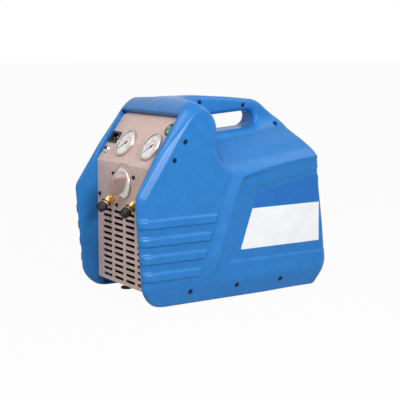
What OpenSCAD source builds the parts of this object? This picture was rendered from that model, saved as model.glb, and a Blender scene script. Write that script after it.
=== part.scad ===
// Portable refrigerant recovery machine, built from its separate pieces.
// Front faces -Y, up is +Z, the origin is on the ground under the middle of the body.

/* [Body] */
// Overall width over the side ribs
body_w = 250; // [244:1:258]
// Height of the top of the handle above the ground
body_h = 369; // [366:1:374]
// Wall of the two moulded halves
wall = 3.5; // [3:0.1:4]
// How far the side ribs stand out
rib_step = 2; // [1.5:0.1:2.5]
// Height of one side rib
rib_h = 17; // [13:1:19]
// Width of the carrying handle
handle_w = 44; // [40:1:48]

/* [Front panel] */
// Lean of the upper panel from the vertical
tilt = 35; // [34:0.5:36]
// Sheet thickness of the panels
panel_t = 1.5; // [1.2:0.1:1.8]
// Length of one vent slot
slot_w = 34; // [26:1:36]
// Height of one vent slot
slot_h = 5.5; // [4:0.5:7]
// Rows of vent slots
slot_rows = 12; // [10:1:12]

/* [Controls] */
// Outer diameter of a gauge bezel
gauge_d = 54; // [52:1:60]
// Diameter of the mode knob's skirt
knob_d = 56; // [50:1:58]
// Angle of the knob's grip from the vertical
knob_turn = 40; // [0:5:60]
// Downward angle of the two hose fittings
port_tilt = 45; // [40:1:50]
// Radius of the quarter inch flare thread
flare_r = 5.55; // [5.5:0.05:5.6]

/* [Machinery] */
// Radius of the motor can
motor_r = 50; // [44:1:51]
// Number of fan blades
fan_blades = 7; // [5:1:9]
// Number of condenser fins
fin_count = 18; // [12:1:22]

/* [Hidden] */
$fn = 48;

// Colours
blue = "#2f7fc8";
beige = "#cdb9ae";
dark = "#1d1c20";
brass = "#d9b46a";
steel = "#b9bcc0";
copper = "#b8733f";
iron = "#5c6066";

// Small shared gaps
eps = 0.01;
running = 0.06;
loose = 0.3;

// Body outline, seen from the right side
half_w = body_w / 2;
side_x = half_w - rib_step;
foot_h = 3;
// Pieces are drawn from a base plane that lies above the ground by the depth of the skirt, with the
// middle of the body a little behind the drawing's origin
skirt = 12;
mid_y = 5.6;
floor_z = foot_h - skirt;
top_z = body_h - skirt;
knee = [-207, top_z - 168];
top_front_y = knee.x + (top_z - 2 - knee.y) * tan(tilt);
rear_top = [190, top_z - 115];
rear_foot = [218, 40];
rear_lean = atan2(rear_foot.x - rear_top.x, rear_top.y - rear_foot.y);
side_corners = [
    [-190, floor_z, 50], [knee.x, knee.y, 26], [top_front_y, top_z - 2, 80], [-20, top_z, 220],
    [60, top_z - 5, 150], [118, top_z - 11, 50], [174, top_z - 55, 40], [rear_top.x, rear_top.y, 60],
    [rear_foot.x, rear_foot.y, 12], [184, floor_z, 14]
];

// Rear opening on the leaning rear face, measured up that face
rear_len = norm(rear_top - rear_foot);
rear_mid = rear_len / 2 - 10;
rear_open = [half_w - 39, rear_len / 2 - 22];
rear_screw_x = rear_open.x + 4;
rear_screw_s = [12 - rear_open.y, 0, rear_open.y - 12];
vent_pitch = 14;
vent_rows = floor((2 * rear_open.y - 34) / vent_pitch) + 1;

// Saddle behind the front bulge, rising towards the rear
saddle_z = top_z - 72;
saddle_rise = 6.3;
saddle_drop = [[0, 0], [26, -2], [52, -16], [84, -32], [106, -46], [121, -62], [half_w + 15, -84]];
bulge_rear = [[0, -14], [22, -16], [60, -25], [half_w + 10, -45]];
bulge_top = [
    [-32, top_z - 57], [-44, top_z - 29], [-70, top_z], [-70, top_z + 60], [60, top_z + 60],
    [60, top_z - 57]
];

// Hand hole through the handle
hole_mid = [43, top_z - 50];
hole_size = [113, 31];
hole_r = 14;

// Front opening and panel
rim_w = 22;
opening_half = half_w - rim_w;
lip_flare = 14;
opening_top = top_z - 33;
panel_half = opening_half - 0.5;
panel_y = -164.5;
panel_bottom = 13;
bend_z = top_z - 121;
slope_len = (opening_top - 1 - bend_z) / cos(tilt);
flange_d = 14;
flange_x = panel_half - panel_t - 0.3;
slope_end = [panel_y + slope_len * sin(tilt), bend_z + slope_len * cos(tilt)];
bent_sheet = [
    [panel_y, panel_bottom], [panel_y, bend_z], slope_end,
    slope_end + panel_t * [cos(tilt), -sin(tilt)],
    [panel_y + panel_t, bend_z - panel_t * tan(tilt / 2)], [panel_y + panel_t, panel_bottom]
];
rim_screw_depth = 19;
rim_screw_s = [32, 70];

// Bottom tray
tray_z = 6.5;
tray_t = 1.5;
tray_top = tray_z + rib_step + tray_t;
tray_half = half_w - 21;
tray_y = [-145, 158];
base_screw_z = 16;
base_screw_y = [-97, 3, 102];
foot_x = tray_half - 30;
foot_y = [-120, 125];

// Screws
screw_r = 2;
screw_head_r = 3.6;
boss_r = 5.5;
handle_screw_at = [[-15, top_z - 14], [83, top_z - 21], [152, top_z - 58]];

// Raised frame and label pocket on each side, under the shoulder
shoulder_z = top_z - 121;
pocket_x = side_x - 7;
frame_x = side_x - 2.5;

// Positions on the panel: across, and up from the ground or up the slope
gauge_s = 42;
switch_at = [panel_half - 15.5, slope_len - 26.2];
socket_at = [18.5 - panel_half, gauge_s + 9];
breaker_at = [14.5 - panel_half, gauge_s - 17];
gauge_x = [socket_at.x + 54, panel_half - 40.5];
knob_at = [0, bend_z - 34];
port_x = 45;
port_z = bend_z - 68;
block_half = 60;
block_z = [port_z - 18, port_z + 54];
block_d = 40;
screw_spots = [[38, bend_z - 20], [26, port_z - 9], [panel_half - 10.5, port_z + 5]];

// Vent slots under the hose fittings, as many rows as the panel has room for
slot_top = port_z - 22;
slot_pitch = [43, 11.2];
rows = min(slot_rows, floor((slot_top - panel_bottom - 6) / slot_pitch.y) + 1);

// Hose fitting, measured along its own axis from the elbow
elbow_out = 6.5;
neck_r = 7.6;
neck_end = 10.5;
thread_end = 22;
cap_start = neck_end + 1;
cap_end = thread_end + 3.5;
cap_r = flare_r + 2.45;
strap_at = neck_end - 2.6;
strap_t = 1.8;

// Machinery
shaft_z = 62;
shaft_r = 8;
crank_y = [-55, 15];
crank_half = 44;
crank_z = [20, 100];
cyl_y = -20;
cyl_r = 24;
piston_r = 21.9;
throw = 5;
eccentric_r = 16;
rod_ring_r = eccentric_r + 2 * throw + 0.5;
wrist_z = shaft_z + 59;
head_z = [150, 174];
motor_y = [15, 120];
bell_y = 130;
cond_y = -136;
cond_z = [17, block_z[0] - 5];
cond_half = half_w - 39;
tube_r = 4.76;
tube_count = 5;
fan_y = [-112, -86];
fan_foot = 4;
fan_half = (cond_z[1] - tray_top - fan_foot) / 2 - 5.5;
fan_z = tray_top + fan_foot + fan_half;
pipe_r = 3.2;
elbow_swell = 0.9;
suction_at = [-40, port_z + 22];
filter_y = [-112, -62];
filter_r = 14;

// Geometry helpers
function unit(v) = v / norm(v);
function corner(p, q, s, r, n) =
    r <= 0 ? [q] :
    let (u = unit(p - q), w = unit(s - q), h = acos(u * w) / 2, c = q + unit(u + w) * r / sin(h),
         a = q + u * r / tan(h) - c, b = q + w * r / tan(h) - c,
         a0 = atan2(a.y, a.x), d0 = atan2(b.y, b.x) - a0,
         d = d0 > 180 ? d0 - 360 : d0 < -180 ? d0 + 360 : d0)
    [for (i = [0:n]) c + r * [cos(a0 + d * i / n), sin(a0 + d * i / n)]];
function rounded(v, n = 5) = [
    for (i = [0:len(v) - 1])
        let (m = len(v), p = v[(i + m - 1) % m], q = v[i], s = v[(i + 1) % m])
        each corner([p.x, p.y], [q.x, q.y], [s.x, s.y], q[2], n)
];
function box_corners(cx, cy, w, h, r) = [
    [cx - w / 2, cy - h / 2, r], [cx + w / 2, cy - h / 2, r],
    [cx + w / 2, cy + h / 2, r], [cx - w / 2, cy + h / 2, r]
];

// Outline drawn in (y, z), extruded along x
module along_x(x0, x1) {
    translate([x0, 0, 0]) rotate([90, 0, 90]) linear_extrude(x1 - x0) children();
}
// Outline drawn in (x, z), extruded along y
module along_y(y0, y1) {
    translate([0, y1, 0]) rotate([90, 0, 0]) linear_extrude(y1 - y0) children();
}
// Outline drawn in (x, y), extruded along z
module along_z(z0, z1) {
    translate([0, 0, z0]) linear_extrude(z1 - z0) children();
}
// Local frames with z pointing out of a panel
module on_panel(x, z) {
    translate([x, panel_y, z]) rotate([90, 0, 0]) children();
}
module on_slope(x, s) {
    translate([0, panel_y, bend_z]) rotate([-tilt, 0, 0]) translate([x, 0, s])
        rotate([90, 0, 0]) children();
}
module on_rear(x, s) {
    translate([0, rear_foot.x, rear_foot.y]) rotate([rear_lean, 0, 0]) translate([x, 0, s])
        rotate([90, 0, 180]) children();
}
module on_port(x) {
    on_panel(x, port_z) translate([0, 0, elbow_out]) rotate([port_tilt, 0, 0]) children();
}
module both_sides() {
    children();
    mirror([1, 0, 0]) children();
}
module ring(r_in, r_out, h) {
    difference() {
        cylinder(r = r_out, h = h);
        translate([0, 0, -1]) cylinder(r = r_in, h = h + 2);
    }
}
module rod(p, q, r) {
    v = q - p;
    translate(p) rotate([0, acos(v.z / norm(v)), atan2(v.y, v.x)]) cylinder(r = r, h = norm(v));
}
module pipe(path, r) {
    for (i = [0:len(path) - 2]) rod(path[i], path[i + 1], r);
    for (i = [1:1:len(path) - 2]) {
        across = (r + elbow_swell) * unit(cross(path[i] - path[i - 1], path[i + 1] - path[i]));
        rod(path[i] - across, path[i] + across, r + elbow_swell);
    }
}
module screw(length) {
    translate([0, 0, -length]) cylinder(r = screw_r, h = length);
    difference() {
        cylinder(r = screw_head_r, h = 2.4);
        for (a = [0, 90]) rotate(a) translate([-2, -0.4, 1.2]) cube([4, 0.8, 2]);
    }
}

// Moulded halves
module side_shape(inset) {
    offset(delta = -inset) polygon(rounded(side_corners));
}
module section_shape(inset) {
    offset(delta = -inset) polygon(rounded([
        [-20, floor_z, 0], [half_w - 13, floor_z, 8], [half_w, 34, 30], [half_w, top_z, 30],
        [-20, top_z, 0]
    ]));
}
module plan_shape(inset) {
    offset(delta = -inset) polygon(rounded([
        [-20, knee.x - 6, 0], [half_w, knee.x - 6, 10], [half_w, rear_foot.x + 1, 26],
        [-20, rear_foot.x + 3, 0]
    ]));
}
module body_block(inset) {
    intersection() {
        along_x(inset > 0 ? -1 : 0, half_w + 1) side_shape(inset);
        along_y(-240, 240) section_shape(inset);
        along_z(floor_z - 1, top_z + 10) plan_shape(inset);
    }
}
module saddle_cut(grow) {
    handle_side = handle_w / 2 - grow;
    intersection() {
        union() {
            along_z(150, top_z + 40) polygon(concat(
                [for (p = bulge_rear) [max(p.x, handle_side), p.y - grow]],
                [[half_w + 10, 260], [handle_side, 260]]
            ));
            along_x(handle_side, half_w + 10) polygon([for (p = bulge_top) p - [grow, grow]]);
        }
        translate([0, 0, saddle_z - grow]) rotate([saddle_rise, 0, 0]) along_y(-120, 280)
            polygon(concat(saddle_drop, [[half_w + 15, 140], [0, 140]]));
    }
}
module hand_hole(grow) {
    translate([0, hole_mid.x, hole_mid.y]) rotate([saddle_rise - 2, 0, 0]) along_x(-1, half_w)
        polygon(rounded(box_corners(0, 0, hole_size.x + 2 * grow, hole_size.y + 2 * grow,
                                    hole_r + grow)));
}
module front_outline(grow, back_y) {
    polygon([
        [-1, -230], [opening_half + lip_flare + grow, -230], [opening_half + grow, panel_y + 2],
        [opening_half + grow, back_y], [-1, back_y]
    ]);
}
module front_cut(grow) {
    back_y = grow > 0 ? panel_y + 7 : -60;
    low_z = grow > 0 ? floor_z - 1 : tray_z + tray_t + 1;
    along_z(low_z, opening_top + grow) front_outline(grow, back_y);
    if (grow == 0) along_z(floor_z - 1, low_z + 1) front_outline(grow, panel_y + 8);
}
module rib_shape(i) {
    top = 152.5 - 31 * i;
    end_y = -38 - 31 * i * 0.36;
    polygon([[-240, top], [end_y, top], [end_y - rib_h * 0.36, top - rib_h], [-240, top - rib_h]]);
}
module side_skin() {
    along_x(side_x, half_w + 2) difference() {
        translate([-240, -30]) square([480, top_z + 60]);
        for (i = [0:3]) rib_shape(i);
    }
}
module frame_shape() {
    polygon(rounded([[-57, 31, 6], [-12, shoulder_z - 74, 60], [8, shoulder_z - 20, 16],
                     [107, shoulder_z, 60], [240, shoulder_z + 15, 0], [240, 31, 0]]));
}
module pocket_shape(grow) {
    offset(delta = grow)
        polygon(rounded([[-13, 61, 6], [240, 60, 0], [240, shoulder_z - 9, 0],
                         [35, shoulder_z - 47, 6]]));
}
module screw_holes(r) {
    for (p = handle_screw_at) translate([-1, p.x, p.y]) rotate([0, 90, 0]) cylinder(r = r, h = 60);
}
module side_bosses(r, x0) {
    for (s = rim_screw_s)
        on_slope(0, s) translate([x0 == 0 ? opening_half : x0, 0, -rim_screw_depth])
            rotate([0, 90, 0]) cylinder(r = r, h = half_w);
    for (y = base_screw_y)
        translate([x0 == 0 ? tray_half + tray_t : x0, y, base_screw_z]) rotate([0, 90, 0])
            cylinder(r = r, h = half_w);
}
module shell_half() {
    difference() {
        union() {
            difference() {
                body_block(0);
                side_skin();
                difference() {
                    body_block(wall + rib_step);
                    saddle_cut(wall);
                    hand_hole(wall);
                    front_cut(wall);
                    along_x(pocket_x - wall, half_w) pocket_shape(wall);
                }
            }
            intersection() {
                body_block(0.5);
                union() {
                    side_bosses(boss_r, 0);
                    for (p = handle_screw_at)
                        translate([0, p.x, p.y]) rotate([0, 90, 0])
                            cylinder(r = boss_r, h = handle_w / 2 - 2);
                }
            }
        }
        saddle_cut(0);
        hand_hole(0);
        front_cut(0);
        along_x(frame_x, half_w + 2) frame_shape();
        along_x(pocket_x, half_w + 2) pocket_shape(0);
        side_bosses(screw_r + 0.1, tray_half - 14);
        side_bosses(screw_head_r + 0.4, side_x - 6);
        translate([-1, -140, floor_z - 1]) cube([foot_x - 13, 290, 40]);
        on_rear(0, rear_mid) translate([-rear_open.x, -rear_open.y, -12])
            cube([2 * rear_open.x, 2 * rear_open.y, 30]);
        for (x = [-1, 1]) for (s = rear_screw_s) on_rear(x * rear_screw_x, rear_mid + s)
            translate([0, 0, -12]) cylinder(r = screw_r + 0.1, h = 30);
        for (y = foot_y) translate([foot_x, y, -skirt]) cylinder(r = 3.1, h = 20);
    }
}
module right_shell() {
    color(blue) difference() {
        shell_half();
        screw_holes(screw_r + 0.1);
        for (p = handle_screw_at)
            translate([handle_w / 2 - 6, p.x, p.y]) rotate([0, 90, 0])
                cylinder(r = screw_head_r + 0.4, h = 40);
    }
}
module left_shell() {
    color(blue) mirror([1, 0, 0]) difference() {
        shell_half();
        for (p = handle_screw_at)
            translate([-1, p.x, p.y]) rotate([0, 90, 0]) cylinder(r = screw_r + 0.02, h = 14);
    }
}
module handle_screws() {
    color(dark) for (p = handle_screw_at)
        translate([handle_w / 2 - 6, p.x, p.y]) rotate([0, 90, 0]) screw(handle_w / 2 + 5);
}
module rim_screws() {
    color(dark) both_sides() for (s = rim_screw_s)
        on_slope(side_x - 6, s) translate([0, 0, -rim_screw_depth]) rotate([0, 90, 0])
            screw(side_x - 6 - panel_half + 6);
}
module base_screws() {
    color(dark) both_sides() for (y = base_screw_y)
        translate([side_x - 6, y, base_screw_z]) rotate([0, 90, 0])
            screw(side_x - 6 - tray_half + 6);
}
module side_labels() {
    color("white") both_sides() along_x(pocket_x, pocket_x + 0.4)
        polygon([[39, shoulder_z - 82], [194, shoulder_z - 82], [195, 80], [13, 80]]);
}

// Sheet metal
module front_panel() {
    color(beige) difference() {
        union() {
            along_x(-panel_half, panel_half) polygon(bent_sheet);
            both_sides() translate([flange_x, panel_y + panel_t / 2, panel_bottom + 2])
                cube([panel_t, flange_d, bend_z - panel_bottom - 14]);
            both_sides() on_slope(flange_x, 12) translate([0, 0, -26])
                cube([panel_t, slope_len - 20, 26 - panel_t / 2]);
        }
        for (x = gauge_x) on_slope(x, gauge_s) translate([0, 0, -5])
            cylinder(r = gauge_d / 2 - 4.2, h = 10);
        on_slope(switch_at.x, switch_at.y) translate([0, 0, -5]) cylinder(r = 10.1, h = 10);
        on_slope(socket_at.x, socket_at.y) translate([-13.6, -10.1, -5]) cube([27.2, 20.2, 10]);
        on_slope(breaker_at.x, breaker_at.y) translate([0, 0, -5]) cylinder(r = 6.1, h = 10);
        on_panel(knob_at.x, knob_at.y) translate([0, 0, -5]) cylinder(r = 5.2, h = 10);
        for (s = [-1, 1]) on_panel(s * port_x, port_z) translate([0, 0, -5])
            cylinder(r = 6.2, h = 10);
        for (p = screw_spots) for (s = [-1, 1]) on_panel(s * p.x, p.y) translate([0, 0, -5])
            cylinder(r = screw_r + 0.1, h = 10);
        for (i = [0:rows - 1]) for (c = [-1.5:1:1.5])
            translate([c * slot_pitch.x, panel_y + panel_t / 2, slot_top - slot_pitch.y * i])
                cube([slot_w, 10, slot_h], center = true);
        both_sides() for (s = rim_screw_s) on_slope(panel_half - 8, s)
            translate([0, 0, -rim_screw_depth]) rotate([0, 90, 0])
                cylinder(r = screw_r + 0.02, h = 20);
    }
}
module panel_screws() {
    color(dark) for (p = screw_spots) for (s = [-1, 1]) on_panel(s * p.x, p.y) screw(12);
}
module rear_panel() {
    color(beige) on_rear(0, rear_mid) translate([0, 0, -wall - rib_step - panel_t - 0.05])
        difference() {
            translate([-rear_open.x - 10, -rear_open.y - 6, 0])
                cube([2 * rear_open.x + 20, 2 * rear_open.y + 14, panel_t]);
            for (i = [0:vent_rows - 1]) for (c = [-1:1])
                translate([c * 52, vent_pitch * (i - (vent_rows - 1) / 2), 0])
                    cube([42, 6, 10], center = true);
            for (x = [-1, 1]) for (s = rear_screw_s) translate([x * rear_screw_x, s, -1])
                cylinder(r = screw_r + 0.02, h = 10);
        }
}
module rear_screws() {
    color(dark) for (x = [-1, 1]) for (s = rear_screw_s) on_rear(x * rear_screw_x, rear_mid + s)
        screw(wall + rib_step + panel_t + 4);
}
module base_plate() {
    color(steel) difference() {
        union() {
            translate([-tray_half, tray_y[0], tray_z + rib_step])
                cube([2 * tray_half, tray_y[1] - tray_y[0], tray_t]);
            both_sides() translate([tray_half, tray_y[0] + 20, tray_z + rib_step])
                cube([tray_t, tray_y[1] - tray_y[0] - 40, 20]);
        }
        both_sides() for (y = base_screw_y) translate([tray_half - 5, y, base_screw_z])
            rotate([0, 90, 0]) cylinder(r = screw_r + 0.02, h = 10);
        both_sides() for (y = foot_y) translate([foot_x, y, 0]) cylinder(r = 3.1, h = 20);
    }
}
module rubber_feet() {
    color(dark) both_sides() for (y = foot_y) translate([foot_x, y, -skirt]) {
        cylinder(r = 11, h = foot_h);
        cylinder(r = 3, h = skirt + tray_z + rib_step + tray_t);
    }
}

// Gauges
module gauge_case(x) {
    r = gauge_d / 2;
    color(steel) on_slope(x, gauge_s) {
        rotate_extrude() polygon([
            [0, -26], [r - 4.5, -26], [r - 4.5, 0], [r, 0], [r, 6], [r - 2.8, 6], [r - 2.8, 5.6],
            [r - 1.6, 5.6], [r - 1.6, 4], [r - 2.4, 4], [r - 2.4, 1.5], [r - 6, 1.5],
            [r - 6, -24.5], [0, -24.5]
        ]);
        translate([0, 0, -25]) ring(1.5 + running, 4, 8);
        translate([0, -r + 12, -34]) cylinder(r = 6, h = 8.5);
    }
}
module gauge_dial(x) {
    color("white") on_slope(x, gauge_s) translate([0, 0, 1.5]) ring(1.9, gauge_d / 2 - 2.5, 0.6);
}
module gauge_needle(x) {
    r = gauge_d / 2;
    color("red") on_slope(x, gauge_s) {
        translate([0, 0, -24.3]) cylinder(r = 1.5, h = 27);
        translate([0, 0, 2.5]) cylinder(r = 3, h = 1);
        rotate(135) translate([0, 0, 2.5]) linear_extrude(0.6)
            polygon([[-1.6, -8], [1.6, -8], [0.4, r - 7], [-0.4, r - 7]]);
    }
}
module gauge_lens(x) {
    color("lightcyan", 0.4) on_slope(x, gauge_s) translate([0, 0, 4])
        cylinder(r = gauge_d / 2 - 1.65, h = 1.6);
}
module low_gauge_case() { gauge_case(gauge_x[0]); }
module low_gauge_dial() { gauge_dial(gauge_x[0]); }
module low_gauge_needle() { gauge_needle(gauge_x[0]); }
module low_gauge_lens() { gauge_lens(gauge_x[0]); }
module high_gauge_case() { gauge_case(gauge_x[1]); }
module high_gauge_dial() { gauge_dial(gauge_x[1]); }
module high_gauge_needle() { gauge_needle(gauge_x[1]); }
module high_gauge_lens() { gauge_lens(gauge_x[1]); }

// Knob, stem and manifold
module mode_knob() {
    r = knob_d / 2;
    color("#a5918c") on_panel(knob_at.x, knob_at.y) difference() {
        union() {
            rotate_extrude() polygon([[0, 0.6], [r, 0.6], [r, 5], [r - 3, 8], [0, 8]]);
            rotate(-knob_turn) intersection() {
                translate([-8, -r, 4]) cube([16, 2 * r, 22]);
                cylinder(r1 = r + 1, r2 = r - 6, h = 26);
            }
        }
        translate([0, 0, -1]) cylinder(r = 4, h = 21);
    }
}
module valve_stem() {
    color(steel) on_panel(knob_at.x, knob_at.y) translate([0, 0, -30]) cylinder(r = 4, h = 50);
}
module valve_body() {
    color(brass) difference() {
        translate([-block_half, panel_y + panel_t, block_z[0]])
            cube([2 * block_half, block_d, block_z[1] - block_z[0]]);
        on_panel(knob_at.x, knob_at.y) translate([0, 0, -30.5])
            cylinder(r = 4 + running, h = 40);
        for (s = [-1, 1]) on_panel(s * port_x, port_z) translate([0, 0, -16]) cylinder(r = 6, h = 20);
        for (p = [screw_spots[0], screw_spots[1]]) for (s = [-1, 1]) on_panel(s * p.x, p.y)
            translate([0, 0, -14]) cylinder(r = screw_r + 0.02, h = 20);
    }
}

// Rocker switch
module switch_body() {
    color(dark) on_slope(switch_at.x, switch_at.y) difference() {
        rotate_extrude() polygon([[0, -22], [9.9, -22], [9.9, 0], [11.8, 0], [11.8, 1.6],
                                  [11, 2.4], [0, 2.4]]);
        translate([0, 0, -9]) cylinder(r = 9.2, h = 20);
        translate([-10, 0, -2]) rotate([0, 90, 0]) cylinder(r = 1.2 + running, h = 20);
    }
}
module switch_rocker() {
    color("#5fae84") on_slope(switch_at.x, switch_at.y) translate([0, 0, -2]) {
        rotate([9, 0, 0]) intersection() {
            translate([0, 0, -4]) cylinder(r = 8.2, h = 20);
            rotate([90, 0, 90]) translate([0, 0, -7.6]) linear_extrude(15.2)
                polygon([[-9, 6.4], [0, 5], [9, 6.4], [9, 1], [4, -3], [-4, -3], [-9, 1]]);
        }
        translate([-9.6, 0, 0]) rotate([0, 90, 0]) cylinder(r = 1.2, h = 19.2);
    }
}

// Power inlet and breaker
module power_inlet() {
    color(dark) on_slope(socket_at.x, socket_at.y) difference() {
        union() {
            linear_extrude(2.2) polygon(rounded(box_corners(0, 0, 31, 24, 2)));
            translate([-13.5, -10, -22]) cube([27, 20, 22.5]);
        }
        translate([0, 0, -17]) linear_extrude(30)
            polygon([[-12, -8], [12, -8], [12, 4.5], [8.5, 8], [-8.5, 8], [-12, 4.5]]);
        for (p = [[-7, -1], [7, -1], [0, 3]]) translate([p.x - 1, p.y - 2, -26]) cube([2, 4, 20]);
    }
}
module inlet_pins() {
    color(steel) on_slope(socket_at.x, socket_at.y) for (p = [[-7, -1], [7, -1], [0, 3]])
        translate([p.x - 1, p.y - 2, -26]) cube([2, 4, 23]);
}
module breaker_body() {
    color(steel) on_slope(breaker_at.x, breaker_at.y) difference() {
        union() {
            translate([0, 0, -20]) cylinder(r = 6, h = 23.5);
            cylinder(r = 8.5, h = 2.4);
        }
        translate([0, 0, -12]) cylinder(r = 3 + running, h = 20);
    }
}
module reset_button() {
    color(dark) on_slope(breaker_at.x, breaker_at.y) translate([0, 0, -8]) cylinder(r = 3, h = 15);
}

// Hose fittings, caps, seals and straps
module fitting(x) {
    color(brass) {
        on_panel(x, port_z) difference() {
            union() {
                cylinder(r = 10.5, h = 5, $fn = 6);
                translate([0, 0, -15]) cylinder(r = 5.95, h = 15 + elbow_out);
                cylinder(r = 7, h = elbow_out);
                translate([0, 0, elbow_out]) sphere(r = neck_r + 0.3);
                translate([0, 0, elbow_out]) rotate([port_tilt, 0, 0]) {
                    cylinder(r = neck_r, h = neck_end);
                    cylinder(r = flare_r, h = thread_end - 3);
                    translate([0, 0, thread_end - 3])
                        cylinder(r1 = flare_r, r2 = flare_r - 2.4, h = 3);
                }
            }
            translate([0, 0, -16]) cylinder(r = 2.4, h = 16 + elbow_out);
            translate([0, 0, elbow_out]) sphere(r = 2.8);
            translate([0, 0, elbow_out]) rotate([port_tilt, 0, 0]) cylinder(r = 2.4, h = 40);
        }
    }
}
module port_cap(x) {
    color(dark) on_port(x) difference() {
        union() {
            translate([0, 0, cap_start]) cylinder(r = cap_r - 0.8, h = cap_end - cap_start);
            for (i = [0:11]) rotate(30 * i) translate([cap_r - 2.2, -1.2, cap_start + 0.6])
                cube([2.2, 2.4, cap_end - cap_start - 3]);
            translate([0, 0, cap_end]) cylinder(r = 2.5, h = 3);
            translate([0, 0, cap_end + 2.4]) cylinder(r = 3.4, h = 1.4);
        }
        translate([0, 0, cap_start - 1]) cylinder(r = flare_r + running, h = thread_end + 2.5 - cap_start);
    }
}
module port_seal(x) {
    color("#7a2f28") on_port(x) translate([0, 0, thread_end + 0.02])
        cylinder(r = flare_r - 0.3, h = 1.4);
}
module port_strap(x) {
    top = cap_end + 0.3;
    mid = (top + strap_t / 2 + strap_at) / 2;
    r = mid - strap_at;
    color(dark) on_port(x) rotate(180) difference() {
        union() {
            translate([0, 0, strap_at - strap_t / 2]) cylinder(r = neck_r + 2.4, h = strap_t);
            translate([0, 0, top]) cylinder(r = 5.5, h = strap_t);
            translate([0, -2.5, top]) cube([9, 5, strap_t]);
            translate([0, 2.5, 0]) rotate([90, 0, 0]) linear_extrude(5) intersection() {
                translate([8.5, mid]) difference() {
                    circle(r = r + strap_t / 2);
                    circle(r = r - strap_t / 2);
                }
                translate([8.5, 0]) square([40, 60]);
            }
        }
        translate([0, 0, strap_at - strap_t]) cylinder(r = neck_r + running, h = 2 * strap_t);
        translate([0, 0, cap_end - 1]) cylinder(r = 2.5 + loose, h = 4);
    }
}
module inlet_fitting() { fitting(-port_x); }
module inlet_cap() { port_cap(-port_x); }
module inlet_cap_seal() { port_seal(-port_x); }
module inlet_cap_strap() { port_strap(-port_x); }
module outlet_fitting() { fitting(port_x); }
module outlet_cap() { port_cap(port_x); }
module outlet_cap_seal() { port_seal(port_x); }
module outlet_cap_strap() { port_strap(port_x); }

// Condenser and fan
function tube_z(i) = cond_z[0] + 12 + i * (cond_z[1] - cond_z[0] - 24) / (tube_count - 1);
module condenser_fins() {
    color("silver") difference() {
        for (i = [0:fin_count - 1])
            translate([-cond_half + 6 + i * (2 * cond_half - 12.8) / (fin_count - 1),
                       cond_y - 14, cond_z[0]])
                cube([0.8, 28, cond_z[1] - cond_z[0]]);
        for (i = [0:tube_count - 1]) translate([-200, cond_y, tube_z(i)]) rotate([0, 90, 0])
            cylinder(r = tube_r, h = 400);
    }
}
module condenser_tubes() {
    turn = (cond_z[1] - cond_z[0] - 24) / (tube_count - 1) / 2;
    color(copper) {
        for (i = [0:tube_count - 1]) translate([-cond_half - 3, cond_y, tube_z(i)])
            rotate([0, 90, 0]) cylinder(r = tube_r, h = 2 * cond_half + 6);
        for (i = [0:tube_count - 2]) {
            side = i % 2 == 0 ? 1 : -1;
            translate([side * (cond_half + 3), cond_y, tube_z(i) + turn]) rotate([90, 0, 0])
                intersection() {
                    rotate_extrude() translate([turn, 0]) circle(r = tube_r);
                    translate([side > 0 ? 0 : -40, -40, -20]) cube([40, 80, 40]);
                }
        }
    }
}
module condenser_ends() {
    color(steel) both_sides() difference() {
        union() {
            translate([cond_half, cond_y - 16, tray_z + rib_step + tray_t])
                cube([1.5, 32, cond_z[1] - tray_z - rib_step - tray_t]);
            translate([cond_half - 14, cond_y - 16, tray_z + rib_step + tray_t])
                cube([15, 32, 1.5]);
        }
        for (i = [0:tube_count - 1]) translate([0, cond_y, tube_z(i)]) rotate([0, 90, 0])
            cylinder(r = tube_r, h = 400);
    }
}
module fan_frame() {
    color(dark) difference() {
        union() {
            difference() {
                translate([-fan_half, fan_y[0], fan_z - fan_half])
                    cube([2 * fan_half, fan_y[1] - fan_y[0], 2 * fan_half]);
                translate([0, fan_y[0] - 1, fan_z]) rotate([-90, 0, 0])
                    cylinder(r = fan_half - 3, h = 60);
            }
            translate([0, fan_y[1] - 5, fan_z]) rotate([-90, 0, 0]) cylinder(r = 21, h = 5);
            for (a = [0:3]) translate([0, fan_y[1] - 4.5, fan_z]) rotate([0, 45 + 90 * a, 0])
                translate([-2.5, 0, 16]) cube([5, 4, fan_half - 14]);
            both_sides() translate([fan_half - 14, fan_y[0], tray_top])
                cube([14, fan_y[1] - fan_y[0], fan_foot + 1]);
        }
        translate([0, fan_y[0], fan_z]) rotate([-90, 0, 0]) cylinder(r = 2.5 + running, h = 60);
    }
}
module fan_rotor() {
    color("#2c2c31") translate([0, fan_y[1] - 7, fan_z]) rotate([90, 0, 0]) {
        cylinder(r = 20, h = 16);
        translate([0, 0, -6.5]) cylinder(r = 2.5, h = 7);
        for (i = [0:fan_blades - 1]) rotate(i * 360 / fan_blades) rotate([40, 0, 0])
            translate([16, -14, 12]) intersection() {
                cube([fan_half - 22, 28, 1.6]);
                translate([-16, 14, -20]) cylinder(r = fan_half - 7, h = 60);
            }
    }
}

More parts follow.
